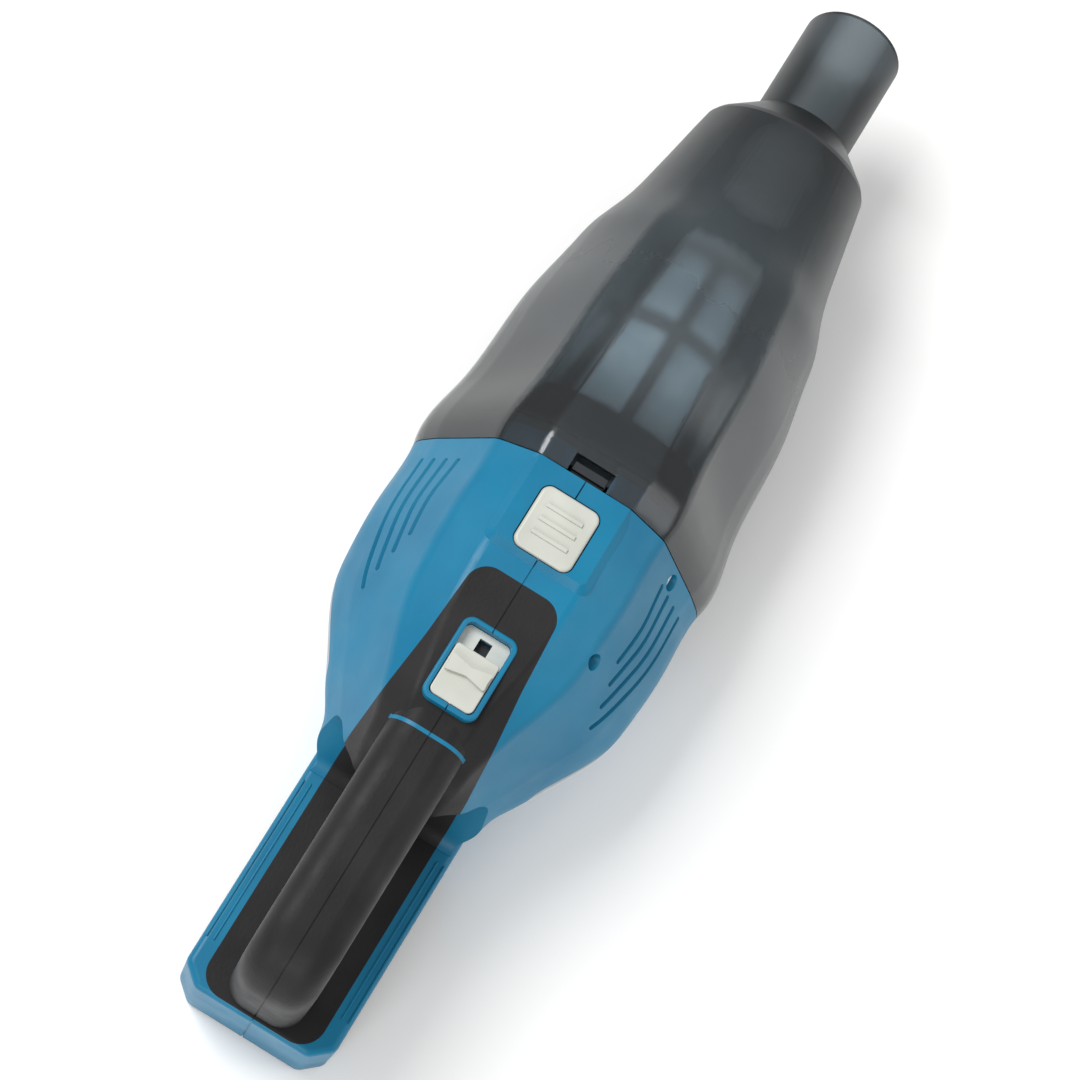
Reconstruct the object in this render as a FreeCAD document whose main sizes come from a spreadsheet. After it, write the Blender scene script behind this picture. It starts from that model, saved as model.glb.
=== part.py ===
import FreeCAD, Part
import Sketcher
import math
import os
import re
from FreeCAD import Placement, Rotation, Vector

# Hand-held cordless shop vacuum. Millimetres, +X towards the nozzle, +Y left, +Z up.
# Pieces are drawn about the axis of the dust cup, with x = 0 at the joint between cup and housing;
# every piece's Placement then carries it to the part's own frame, which stands on z = 0.

SIZES = [
    # overall
    ("nozzle_reach", 223.3, "joint plane to the nozzle's foremost point"),
    ("rear_reach", 200.2, "joint plane to the rear face of the battery base"),
    ("axis_height", 60, "cup axis above the surface it stands on"),
    ("half_width", 59, "half the width at the joint"),
    ("top_rise", 58, "axis to the top of the section at the joint"),
    ("bottom_drop", 58, "axis to the underside"),
    ("fit_gap", 0.4, "clearance of moving plastic fits"),
    ("seal_gap", 0.3, "clearance of rubber against a neighbouring piece"),
    ("seat_gap", 0.05, "clearance of a press-together seat"),
    ("seam_width", 0.5, "width of the groove along the housing's seam"),
    ("seam_depth", 0.45, "depth of that groove"),
    # dust cup
    ("cup_length", 165, "joint plane to the cup's shoulder"),
    ("cup_wall", 2, "wall of the cup"),
    ("shoulder_radius", 33, "radius of the cup at its shoulder"),
    ("collar_x", 179.5, "where the nozzle tube leaves the dome"),
    ("nozzle_radius", 19, "outside radius of the nozzle tube"),
    ("nozzle_wall", 2, "wall of the nozzle tube"),
    ("mouth_slant", 12.5, "slant of the nozzle's mouth in degrees"),
    ("cup_start", 0.4, "gap between the cup's rim and the housing"),
    ("notch_half", 7.6, "half the width of the latch notch in the cup's rim"),
    ("notch_length", 7, "length of the latch notch"),
    # inlet duct and flap
    ("duct_radius", 16.8, "outside radius of the inlet duct"),
    ("duct_wall", 1.5, "wall of the inlet duct"),
    ("duct_rear", 150, "rear end of the inlet duct"),
    ("flap_thick", 1.6, "thickness of the rubber flap"),
    ("flap_pin_radius", 1, "radius of the flap's pin"),
    ("flap_pin_rise", 18.6, "height of the flap's pin above the axis"),
    ("flap_half", 13, "half the length of the flap's pin"),
    # neck, filter seat and filter
    ("neck_length", 9, "length of the housing's neck inside the cup"),
    ("neck_wall", 2.6, "wall of the neck"),
    ("seat_front", 29, "front face of the filter seat's rim"),
    ("seat_inset", 7, "filter seat's rim inside the cup's outer surface"),
    ("seat_wall", 2.2, "wall of the filter seat"),
    ("spigot_radius", 27, "outside radius of the seat's filter spigot"),
    ("spigot_wall", 2, "wall of the spigot"),
    ("spigot_front", 37, "front end of the spigot"),
    ("seal_rear", 13, "rear edge of the cup seal"),
    ("seal_width", 5, "width of the cup seal"),
    ("filter_rear", 31, "rear face of the filter frame"),
    ("filter_front", 112, "front face of the filter frame"),
    ("filter_base_radius", 35, "filter frame's radius at its base ring"),
    ("filter_tip_radius", 24, "filter frame's radius at its front ring"),
    ("filter_ring", 5, "width of the frame's rings"),
    ("filter_rib", 5, "width of the frame's ribs"),
    ("filter_bar", 2.4, "thickness of the frame's rings and ribs"),
    ("cloth_thick", 0.8, "thickness of the filter cloth"),
    # housing
    ("waist_x", 116, "joint plane to the end of the bulb"),
    ("wall", 3, "wall of the housing"),
    ("grip_thick", 1.6, "thickness of the soft grip"),
    ("base_top", 17.5, "axis down to the top of the battery base"),
    ("base_drop", 59, "axis down to the underside of the base"),
    ("base_chamfer", 6.4, "chamfer of the base's rear corners"),
    ("base_edge", 2.5, "rounding of the base's upper edge"),
    ("handle_half", 14.2, "half the width of the handle bar"),
    ("handle_rear", 197, "joint plane to the back of the handle"),
    ("handle_top_front", 49.5, "height of the handle's top at its front"),
    ("handle_top_rear", 45.5, "height of the handle's top at its rear"),
    ("handle_round", 9, "rounding of the handle's outer edges"),
    ("loop_round", 6, "rounding of the handle's inner edges"),
    ("loop_top", 17, "height of the loop's upper side"),
    ("loop_front_top", 95, "loop's upper front corner"),
    ("loop_front_low", 113, "loop's lower front corner"),
    ("loop_rear", 180, "loop's rear side"),
    ("bar_front", 99, "joint plane to the front of the bar"),
    ("cross_rib", 1.4, "width of the rib across the front of the bar"),
    ("platform_half", 17.5, "half the width of the button platform's top"),
    ("platform_bevel", 2.8, "bevel round the platform"),
    ("platform_rear", 34.5, "rear end of the platform's foot"),
    ("platform_top", 58.4, "height of the platform's top"),
    ("grip_front", 41, "front end of the grip"),
    ("grip_half_front", 16.5, "half the width of the grip at its front"),
    ("grip_half_rear", 22.8, "half the width of the grip at its rear"),
    ("grip_rear", 199, "rear end of the grip"),
    ("bulkhead_front", 17, "front face of the motor bulkhead"),
    ("bulkhead_thick", 3, "thickness of each bulkhead"),
    ("cradle_x", 64, "front face of the rear motor bulkhead"),
    # vents and screws
    ("vent_count", 4, "vent slots on each side"),
    ("vent_high", 33, "front end of the uppermost slot above the axis"),
    ("vent_pitch", 7, "spacing of the slots at their front ends"),
    ("vent_rear_high", 31, "rear end of the uppermost slot above the axis"),
    ("vent_rear_pitch", 4.3, "spacing of the slots at their rear ends"),
    ("vent_groove", 2.2, "height of a vent groove"),
    ("vent_depth", 1.5, "depth of a vent groove"),
    ("vent_slit", 0.9, "height of the slit in its floor"),
    ("vent_start", 8, "front end of the slots"),
    ("vent_length", 32, "length of the uppermost slot"),
    ("vent_step", 7, "how much longer each lower slot is"),
    ("screw_head_radius", 2.8, "radius of a screw's head"),
    ("screw_head", 2, "height of a screw's head"),
    ("screw_radius", 1.5, "radius of a screw's shank"),
    ("screw_boss", 3.8, "radius of a screw boss"),
    ("screw_play", 0.25, "clearance round a screw"),
    # release button and latch
    ("button_front", 7.5, "front edge of the button"),
    ("button_length", 24.1, "length of the button"),
    ("button_half", 11.1, "half the width of the button"),
    ("button_corner", 3.5, "corner radius of the button"),
    ("button_proud", 1, "button above the platform"),
    ("button_thick", 7, "height of the button"),
    ("button_travel", 3, "travel of the button"),
    ("rib_width", 1.5, "width of the button's ribs"),
    ("rib_rise", 0.8, "height of the button's ribs"),
    ("rib_pitch", 5.2, "spacing of the button's ribs"),
    ("hook_half", 6.3, "half the width of the latch hook"),
    ("hook_thick", 2.6, "thickness of the latch hook"),
    ("spring_radius", 4, "outside radius of the release spring"),
    ("spring_wire", 0.8, "wire of the release spring"),
    ("spring_length", 9, "length of the release spring"),
    # switch
    ("bezel_front", 58.5, "front edge of the switch surround"),
    ("bezel_length", 32, "length of the switch surround"),
    ("bezel_half", 10.4, "half the width of the switch surround"),
    ("bezel_top", 53.6, "height of the switch surround"),
    ("bezel_rim", 1.8, "rim of the switch surround"),
    ("switch_floor", 49, "height of the switch plate's upper face"),
    ("plate_thick", 1.5, "thickness of the switch plate"),
    ("slider_length", 19.6, "length of the switch slider"),
    ("slider_top", 53.2, "height of the slider's upper face"),
    ("slider_travel", 8, "travel of the slider"),
    ("slider_play", 0.35, "clearance round the slider"),
    ("stem_half", 2, "half the width of the slider's stem"),
    # fan and motor
    ("fan_radius", 36, "radius of the impeller"),
    ("fan_play", 2, "clearance round the impeller"),
    ("fan_depth", 9, "depth of the impeller's blades"),
    ("fan_plate", 1.5, "thickness of the impeller's back plate"),
    ("fan_eye", 15, "radius of the impeller's inlet"),
    ("blade_count", 9, "number of impeller blades"),
    ("blade_thick", 1.4, "thickness of an impeller blade"),
    ("shroud_wall", 2, "wall of the fan shroud"),
    ("shroud_front", 7, "front face of the fan shroud"),
    ("motor_radius", 18, "outside radius of the motor"),
    ("motor_wall", 1.4, "wall of the motor can"),
    ("motor_front", 21, "front face of the motor"),
    ("motor_length", 50, "length of the motor can"),
    ("end_cap", 6, "length of the motor's end cap"),
    ("shaft_radius", 1.6, "radius of the motor shaft"),
    ("bearing_radius", 5, "outside radius of the bearings"),
    ("bearing_length", 4, "length of the bearings"),
    ("magnet_thick", 3.4, "thickness of the magnets"),
    ("air_gap", 0.5, "gap between armature and magnets"),
    # battery
    ("cell_diameter", 18.2, "diameter of a cell"),
    ("cell_length", 65, "length of a cell"),
    ("cell_count", 3, "cells side by side"),
    ("cell_gap", 0.2, "gap between cells"),
    ("case_wall", 2, "wall of the battery case"),
    ("case_floor", 2.2, "floor of the battery case"),
    ("pack_front", 117, "joint plane to the pack's front face"),
    ("pack_lift", 1.5, "underside of the pack above the surface"),
    ("pack_travel", 45, "how far the pack slides down and out"),
    ("flange_top", 22, "axis down to the top of the pack's side flanges"),
    ("flange_wide", 6, "width of the side flanges"),
    ("lid_top", 32, "axis down to the middle of the pack's lid"),
    ("lid_split", 37.6, "axis down to the joint of case and lid"),
    ("lid_wall", 1.6, "wall of the lid"),
    ("groove_width", 2.4, "groove along the side flanges"),
    ("groove_depth", 1, "depth of that groove"),
    ("latch_length", 18, "length of a battery latch button"),
    ("latch_height", 7, "height of a battery latch button"),
    ("latch_drop", 6.6, "top of the side flanges down to the latch buttons"),
    ("latch_depth", 2.4, "depth of a battery latch button"),
    ("latch_travel", 1.6, "travel of a battery latch button"),
    ("latch_spring", 1.4, "radius of a latch spring"),
    ("board_thick", 1.2, "thickness of the protection board"),
    ("blade_wide", 6, "width of a terminal blade"),
    ("blade_sheet", 0.8, "thickness of a terminal blade"),
    ("blade_pitch", 9, "spacing of the terminal blades"),
    ("wire_radius", 1.1, "radius of the wires"),
    # feet and trims
    ("foot_radius", 5, "radius of a rubber foot"),
    ("foot_thick", 2, "thickness of a rubber foot"),
    ("foot_side", 22, "feet to the plane of symmetry"),
    ("foot_front", 14, "front feet behind the joint plane"),
    ("foot_rear", 193.5, "rear feet behind the joint plane"),
    ("trim_thick", 1.2, "thickness of the side trims"),
    ("trim_front", 55, "front end of the side trims"),
    ("trim_rear", 88, "rear end of the side trims"),
    ("trim_high", 2, "upper edge of the side trims below the axis"),
    ("trim_low", 20, "lower edge of the side trims below the axis"),
]

doc = FreeCAD.newDocument("ShopVacuum")
sheet = doc.addObject("Spreadsheet::Sheet", "Sizes")
for row, (alias, value, meaning) in enumerate(SIZES, start=1):
    sheet.set("A%d" % row, meaning)
    sheet.set("B%d" % row, str(value))
    sheet.setAlias("B%d" % row, alias)
fits = doc.addObject("App::VarSet", "Fits")
doc.recompute()

ALIASES = {alias for alias, value, meaning in SIZES}
DERIVED = set()
PIECES = []


def cells(text):
    """An expression on the named sizes, written for the expression engine."""
    def owner(match):
        word = match.group(0)
        if word in ALIASES:
            return "Sizes." + word
        if word in DERIVED:
            return "Fits." + word
        return word
    return re.sub(r"[a-z][a-z_]*", owner, str(text))


def derive(name, expression):
    """A size that follows from the sheet's sizes."""
    fits.addProperty("App::PropertyFloat", name)
    fits.setExpression(name, cells(expression))
    DERIVED.add(name)


def size(name):
    """The value of a named size, in millimetres."""
    if name in DERIVED:
        return getattr(fits, name)
    return float(sheet.get(name))


derive("frame_x", "(rear_reach - nozzle_reach)/2")
derive("cells_wide", "cell_count*cell_diameter + (cell_count-1)*cell_gap")
derive("base_half", "cells_wide/2 + cell_gap + case_wall + 0.1")
derive("pack_length", "cell_length + 2*case_wall + 0.5")
derive("pack_rear", "pack_front + pack_length")
derive("pack_bottom", "pack_lift - axis_height")
derive("cell_z", "pack_bottom + case_floor + cell_gap + cell_diameter/2")
derive("bore_radius", "nozzle_radius - nozzle_wall")
derive("fan_rear", "bulkhead_front - 4")
derive("fan_front", "fan_rear - fan_depth")
derive("shroud_radius", "fan_radius + fan_play + shroud_wall")
derive("motor_rear", "motor_front + motor_length")
derive("button_top", "platform_top + button_proud")
derive("button_mid", "-button_front - button_length/2")
derive("bezel_rear", "bezel_front + bezel_length")
derive("slider_rear", "bezel_rear - bezel_rim - slider_play")
derive("slider_front", "slider_rear - slider_length")
derive("well_half", "bezel_half - bezel_rim")
derive("magnet_radius", "motor_radius - motor_wall - seat_gap")
derive("armature_radius", "magnet_radius - magnet_thick - air_gap")
derive("flap_x", "duct_rear - seal_gap - flap_thick")
doc.recompute()


# ---------------------------------------------------------------- solids bound to the sheet

def block(x, y, z):
    """A box between three pairs of expressions."""
    box = doc.addObject("Part::Box", "block")
    for side, base, (low, high) in zip(("Length", "Width", "Height"), "xyz", (x, y, z)):
        box.setExpression(side, cells("(%s) - (%s)" % (high, low)))
        box.setExpression("Placement.Base." + base, cells(low))
    return box


TURNS = {"x": Rotation(Vector(0, 1, 0), 90), "y": Rotation(Vector(1, 0, 0), -90), "z": Rotation()}


def rod(axis, ends, radius, centre=("0", "0")):
    """A cylinder along x, y or z between two expressions, about a centre in the other two."""
    cylinder = doc.addObject("Part::Cylinder", "rod")
    cylinder.Placement = Placement(Vector(), TURNS[axis])
    cylinder.setExpression("Height", cells("(%s) - (%s)" % (ends[1], ends[0])))
    cylinder.setExpression("Radius", cells(radius))
    across = [letter for letter in "xyz" if letter != axis]
    cylinder.setExpression("Placement.Base." + axis, cells(ends[0]))
    for letter, place in zip(across, centre):
        cylinder.setExpression("Placement.Base." + letter, cells(place))
    return cylinder


def join(*solids):
    fused = doc.addObject("Part::MultiFuse", "join")
    fused.Shapes = list(solids)
    return fused


def cut(base, *tools):
    remainder = doc.addObject("Part::Cut", "cut")
    remainder.Base = base
    remainder.Tool = tools[0] if len(tools) == 1 else join(*tools)
    return remainder


def seat_in_frame(thing, label):
    """Names a sub-part and carries it to the part's own frame."""
    thing.Label = label
    thing.setExpression("Placement.Base.x", cells("frame_x"))
    thing.setExpression("Placement.Base.z", cells("axis_height"))
    PIECES.append(thing)
    return thing


def piece(label, *solids):
    """A sub-part made of primitives and booleans."""
    group = doc.addObject("Part::Compound", "piece")
    group.Links = list(solids)
    return seat_in_frame(group, label)


def shaped(label, shape):
    """A sub-part whose form is drawn by the functions below."""
    feature = doc.addObject("Part::Feature", "shaped")
    feature.Shape = shape
    feature.Placement = Placement(Vector(size("frame_x"), 0, size("axis_height")), Rotation())
    return seat_in_frame(feature, label)


def origin_feature(body, role):
    return [feature for feature in body.Origin.OriginFeatures if feature.Role == role][0]


def draw_outline(sketch, corners):
    """A closed outline whose corners stand at pairs of expressions."""
    count = len(corners)
    for i in range(count):
        start = 2 * math.pi * i / count
        end = 2 * math.pi * (i + 1) / count
        sketch.addGeometry(Part.LineSegment(
            Vector(50 * math.cos(start), 60 + 50 * math.sin(start), 0),
            Vector(50 * math.cos(end), 60 + 50 * math.sin(end), 0)), False)
    for i in range(count):
        sketch.addConstraint(Sketcher.Constraint("Coincident", i, 2, (i + 1) % count, 1))
    for i, (across, up) in enumerate(corners):
        for kind, place, axis in (("DistanceX", across, -2), ("DistanceY", up, -1)):
            if place == "0":
                sketch.addConstraint(Sketcher.Constraint("PointOnObject", i, 1, axis))
                continue
            index = sketch.addConstraint(Sketcher.Constraint(kind, -1, 1, i, 1, 10.0 + i))
            sketch.setExpression("Constraints[%d]" % index, cells(place))


def turned(label, corners):
    """A piece turned about the cup's axis from an outline of (x, radius)."""
    body = doc.addObject("PartDesign::Body", "turned")
    sketch = body.newObject("Sketcher::SketchObject", "outline")
    sketch.AttachmentSupport = [(origin_feature(body, "XY_Plane"), "")]
    sketch.MapMode = "FlatFace"
    draw_outline(sketch, corners)
    doc.recompute()
    turn = body.newObject("PartDesign::Revolution", "turn")
    turn.Profile = sketch
    turn.ReferenceAxis = (origin_feature(body, "X_Axis"), [""])
    turn.Angle = 360
    return seat_in_frame(body, label)


def ring_outline(rear, front, inner, outer):
    return [(rear, inner), (front, inner), (front, outer), (rear, outer)]


# ---------------------------------------------------------------- rounded outlines and lofts

def rounded_runs(corners, inset=0.0):
    """Edges of a closed, counter-clockwise rounded polygon, each as start, middle and end.

    corners holds (across, up, radius); the outline is drawn inset from them."""
    count = len(corners)
    points = [Vector(across, up, 0) for across, up, radius in corners]
    sides = [(points[(i + 1) % count] - points[i]).normalize() for i in range(count)]
    inward = [Vector(-side.y, side.x, 0) for side in sides]
    moved = []
    for i in range(count):
        both = inward[i - 1] + inward[i]
        moved.append(points[i] + both * (inset / (1 + inward[i - 1].dot(inward[i]))))
    arcs = []
    for i in range(count):
        back = moved[i - 1] - moved[i]
        ahead = moved[(i + 1) % count] - moved[i]
        room = 0.48 * min(back.Length, ahead.Length)
        half = back.getAngle(ahead) / 2
        if corners[i][2] == 0:
            arcs.append((moved[i], moved[i], moved[i]))
            continue
        radius = min(max(corners[i][2] - inset, 0.3), room * math.tan(half))
        reach = radius / math.tan(half)
        back.normalize()
        ahead.normalize()
        bisector = (back + ahead).normalize()
        crown = moved[i] + bisector * (radius / math.sin(half) - radius)
        arcs.append((moved[i] + back * reach, crown, moved[i] + ahead * reach))
    runs = []
    for i in range(count):
        if corners[i][2] > 0:
            runs.append(arcs[i])
        start = arcs[i][2]
        end = arcs[(i + 1) % count][0]
        runs.append((start, (start + end) * 0.5, end))
    return runs


def wire_through(runs, place):
    """A wire through the runs; place turns each flat point into a point in space."""
    edges = []
    for start, middle, end in runs:
        chord = (end - start).normalize()
        bulge = (middle - start).cross(chord).Length
        ends = [place(start), place(middle), place(end)]
        if bulge < 1e-4:
            edges.append(Part.LineSegment(ends[0], ends[2]).toShape())
        else:
            edges.append(Part.Arc(*ends).toShape())
    return Part.Wire(edges)


def prism(corners, place, direction, inset=0.0):
    """A rounded polygon drawn straight along a direction."""
    wire = wire_through(rounded_runs(corners, inset), place)
    return Part.Face(wire).extrude(direction)


# Half of the section at the joint, from the top to the underside: shares of the half width and of
# the height above or below the axis, and each corner's radius as a share of the half width.
SECTION = [
    (0.305, 1.0, 0.09),
    (0.56, 0.836, 0.17),
    (0.88, 0.24, 0.42),
    (1.017, -0.07, 0.5),
    (0.87, -0.62, 0.42),
    (0.53, -1.0, 0.2),
]


class Station:
    """One cross-section: its place, half width, rise, drop, and how round it is from 0 to 1."""

    def __init__(self, x, half, rise, drop, roundness=0.0):
        self.x = x
        self.half = half
        self.rise = rise
        self.drop = drop
        self.roundness = roundness

    def wire(self, inset=0.0):
        left = []
        for across, up, radius in SECTION:
            height = up * (self.rise if up > 0 else self.drop)
            left.append((across * self.half, height, radius * self.half))
        right = [(-across, up, radius) for across, up, radius in left]
        corners = right + left[::-1]
        circle = self.half - inset

        def rounder(point):
            on_circle = Vector(point).normalize() * circle
            return point + (on_circle - point) * self.roundness

        runs = [tuple(rounder(point) for point in run) for run in rounded_runs(corners, inset)]
        return wire_through(runs, lambda point: Vector(self.x, point.x, point.y))


def station_between(stations, x):
    """The section at x, straight between its neighbours."""
    for before, after in zip(stations, stations[1:]):
        low, high = sorted((before.x, after.x))
        if low <= x <= high:
            share = (x - before.x) / (after.x - before.x)
            values = []
            for name in ("half", "rise", "drop", "roundness"):
                start = getattr(before, name)
                values.append(start + (getattr(after, name) - start) * share)
            return Station(x, *values)
    nearest = min((stations[0], stations[-1]), key=lambda station: abs(station.x - x))
    return Station(x, nearest.half, nearest.rise, nearest.drop, nearest.roundness)


def loft(stations, inset=0.0):
    return Part.makeLoft([station.wire(inset) for station in stations], True, False, False, 3)


def cup_stations():
    """The cup's outside, from the joint to its shoulder: shares of its length, of the way its
    half width shrinks to the shoulder, and of the way to a round section."""
    half = size("half_width")
    shrink = half - size("shoulder_radius")
    shares = [(0, 0, 0), (0.12, 0.0, 0), (0.35, 0.15, 0.1), (0.533, 0.3, 0.25), (0.606, 0.385, 0.4),
              (0.648, 0.45, 0.55), (0.685, 0.546, 0.7), (0.721, 0.642, 0.85), (0.764, 0.723, 0.95),
              (0.824, 0.8, 1), (0.909, 0.896, 1), (1, 1, 1)]
    stations = []
    for along, narrowing, roundness in shares:
        width = half - shrink * narrowing
        rise = size("top_rise") * width / half
        drop = size("bottom_drop") * width / half
        stations.append(Station(size("cup_length") * along, width, rise, drop, roundness))
    return stations


def bulb_stations():
    """The motor housing's outside, from the joint back to the waist: shares of its length, of the
    way its half width shrinks to the base's, and of the way its top falls to the loop."""
    half = size("half_width")
    shrink = half - size("base_half")
    top = size("top_rise")
    fall = top - size("loop_top") - 2
    deepen = size("base_drop") - size("bottom_drop")
    shares = [(0, 0, 0, 0), (0.155, 0, 0.026, 0), (0.31, 0.007, 0.064, 0), (0.457, 0.068, 0.115, 0.05),
              (0.534, 0.154, 0.133, 0.15), (0.612, 0.308, 0.154, 0.3), (0.69, 0.486, 0.18, 0.5),
              (0.776, 0.671, 0.205, 0.8), (0.836, 0.815, 0.27, 0.9), (0.897, 0.908, 0.4, 1),
              (0.948, 0.973, 0.64, 1), (1, 1, 1, 1)]
    stations = []
    for along, narrowing, lowering, dropping in shares:
        stations.append(Station(-size("waist_x") * along, half - shrink * narrowing,
                                top - fall * lowering, size("bottom_drop") + deepen * dropping))
    return stations


CUP = cup_stations()
BULB = bulb_stations()
FAR = 400.0


def side_view(y):
    """Places side-view points (x, z) in the plane of the given y."""
    return lambda point: Vector(point.x, y, point.y)


def plan_view(z):
    return lambda point: Vector(point.x, point.y, z)


def slab(x_low, x_high, y_low, y_high, z_low, z_high):
    return Part.makeBox(x_high - x_low, y_high - y_low, z_high - z_low, Vector(x_low, y_low, z_low))


def bar_round(axis, start, length, radius, across):
    """A cylinder along x, y or z; across is its centre in the other two directions."""
    if axis == "x":
        return Part.makeCylinder(radius, length, Vector(start, across[0], across[1]), Vector(1, 0, 0))
    if axis == "y":
        return Part.makeCylinder(radius, length, Vector(across[0], start, across[1]), Vector(0, 1, 0))
    return Part.makeCylinder(radius, length, Vector(across[0], across[1], start), Vector(0, 0, 1))


def loop_opening(grow=0.0):
    """The finger opening of the D-handle, right across the housing."""
    corners = [
        (-size("loop_rear"), -size("base_top"), 9),
        (-size("loop_front_low"), -size("base_top"), 9),
        (-size("loop_front_top"), size("loop_top"), 9),
        (-size("loop_rear") - 1, size("loop_top"), 12),
    ]
    return prism(corners, side_view(-FAR / 2), Vector(0, FAR, 0), -grow)


def base_block(inset=0.0):
    """The low battery base behind the waist."""
    half = size("base_half")
    rear = size("rear_reach")
    chamfer = size("base_chamfer")
    corners = [
        (-rear, -half + chamfer + 1, 4),
        (-rear + chamfer, -half, 4),
        (-size("loop_front_top") + 4, -half, 1),
        (-size("loop_front_top") + 4, half, 1),
        (-rear + chamfer, half, 4),
        (-rear, half - chamfer - 1, 4),
    ]
    height = size("base_drop") - size("base_top")
    solid = prism(corners, plan_view(-size("base_drop") + inset), Vector(0, 0, height - 2 * inset), inset)
    rounding = max(size("base_edge") - inset, 0.5)
    top = -size("base_top") - inset
    edges = [edge for edge in solid.Edges
             if abs(edge.BoundBox.ZMin - top) < 0.01 and abs(edge.BoundBox.ZMax - top) < 0.01
             and edge.BoundBox.XMin < -size("loop_front_low")]
    return solid.makeFillet(rounding, edges)


def handle_ring(inset=0.0):
    """The D-handle: bar, rear leg and their roots inside the bulb and the base."""
    rear = size("handle_rear")
    front = size("platform_rear") + 20
    foot = -size("base_top") - 12
    outer = [
        (-front, foot, 0),
        (-front, size("handle_top_front") - 1.5, 0),
        (-size("bar_front"), size("handle_top_front"), 40),
        (-rear, size("handle_top_rear"), 26),
        (-rear - 1, foot, 0),
    ]
    half = size("handle_half") - inset
    disc = Part.Face(wire_through(rounded_runs(outer, inset), side_view(-half)))
    solid = disc.extrude(Vector(0, 2 * half, 0))
    solid = solid.makeFillet(max(size("handle_round") - inset, 1),
                             [edge for edge in flat_edges(solid) if edge.BoundBox.ZMax > foot + 5
                              and edge.BoundBox.XMin < -front - 1])
    ring = solid.cut(loop_opening(inset))
    inside = [edge for edge in flat_edges(ring)
              if edge.BoundBox.ZMax < size("loop_top") + inset + 0.1
              and edge.BoundBox.ZMin > -size("base_top") - inset - 0.1
              and edge.BoundBox.XMin > -size("loop_rear") - inset - 1.5]
    return ring.makeFillet(max(size("loop_round") - inset, 1), inside)


def flat_edges(solid):
    """Edges that lie in a plane square to y."""
    return [edge for edge in solid.Edges if edge.BoundBox.YMax - edge.BoundBox.YMin < 0.01]


def lower_form(inset=0.0):
    """Bulb and base with the finger opening cut through."""
    solid = loft(BULB, inset).fuse(base_block(inset))
    return solid.cut(loop_opening(inset))


def platform():
    """The raised platform round the release button."""
    half = size("platform_half")
    bevel = size("platform_bevel")
    rear = size("platform_rear")
    top = size("platform_top")
    foot = top - bevel - 3
    rings = []
    for z, spread in ((foot, bevel), (top - bevel, bevel), (top, 0)):
        corners = [(-rear + bevel - spread, -half - spread, 1.5 + spread), (0, -half - spread, 0.3),
                   (0, half + spread, 0.3), (-rear + bevel - spread, half + spread, 1.5 + spread)]
        rings.append(wire_through(rounded_runs(corners), plan_view(z)))
    return Part.makeLoft(rings, True, True)


def bezel_corners(spread=0.0):
    """Plan of the switch surround, or of its well with a negative spread."""
    half = size("bezel_half") + spread
    front = -size("bezel_front") + spread
    rear = -size("bezel_rear") - spread
    corner = max(4 + spread, 1)
    return [(rear, -half, corner), (front, -half, corner), (front, half, corner), (rear, half, corner)]


def grip_region():
    """Plan of the soft grip, from behind the platform to the rear of the base."""
    front = size("grip_front")
    half = size("grip_half_front")
    rear_half = size("grip_half_rear")
    corners = [
        (-size("grip_rear"), -rear_half, 9),
        (-size("loop_front_low") + 5, -rear_half, 60),
        (-front - 30, -half - 2, 60),
        (-front, -half, 8),
        (-front, half, 8),
        (-front - 30, half + 2, 60),
        (-size("loop_front_low") + 5, rear_half, 60),
        (-size("grip_rear"), rear_half, 9),
    ]
    low = -size("base_top") - size("grip_thick") - 1
    return prism(corners, plan_view(low), Vector(0, 0, FAR / 2))


VENT_SAG = 0.04    # how far a slot bows down at its middle, as a share of its length


def vent_slots(tall):
    """Slots on both sides, from the uppermost down; each lower one is longer, and they close up
    towards the rear."""
    slots = []
    start = -size("vent_start")
    for number in range(int(size("vent_count"))):
        length = size("vent_length") + number * size("vent_step")
        front_z = size("vent_high") - number * size("vent_pitch")
        rear_z = size("vent_rear_high") - number * size("vent_rear_pitch")
        middle_z = (front_z + rear_z) / 2 - length * VENT_SAG
        bend = length * 1.5
        corners = [(start - length, rear_z - tall / 2, tall * 0.45),
                   (start - length / 2, middle_z - tall / 2, bend),
                   (start, front_z - tall / 2, tall * 0.45),
                   (start, front_z + tall / 2, tall * 0.45),
                   (start - length / 2, middle_z + tall / 2, bend),
                   (start - length, rear_z + tall / 2, tall * 0.45)]
        for side in (-1, 1):
            inner = side * size("half_width") * 0.45
            slots.append(prism(corners, side_view(inner), Vector(0, side * size("half_width"), 0)))
    return Part.makeCompound(slots)


def vents():
    """Shallow grooves, each with a narrow slit through its floor."""
    skin = loft(BULB).cut(loft(BULB, size("vent_depth")))
    return [skin.common(vent_slots(size("vent_groove"))), vent_slots(size("vent_slit"))]


# Screws through the right half into the left: distance behind the joint, height, and the y of the
# seat under the screw's head.
SCREWS = [(47.0, 42.0, -26.0), (12.0, -49.0, -30.0), (58.0, -49.0, -28.0),
          (105.0, -40.0, -22.0), (150.0, 33.0, -9.0)]
SHORT_SCREW = (4.6, 29.0, -40.0)


def screw_bosses():
    """Bosses that carry the screws on both sides of the seam."""
    bosses = []
    for back, z, seat in SCREWS:
        bosses.append(bar_round("y", -FAR / 4, FAR / 2, size("screw_boss"), (-back, z)))
    back, z, seat = SHORT_SCREW
    bosses.append(bar_round("y", seat - 3, 10, size("screw_boss"), (-back, z)))
    return bosses


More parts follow.
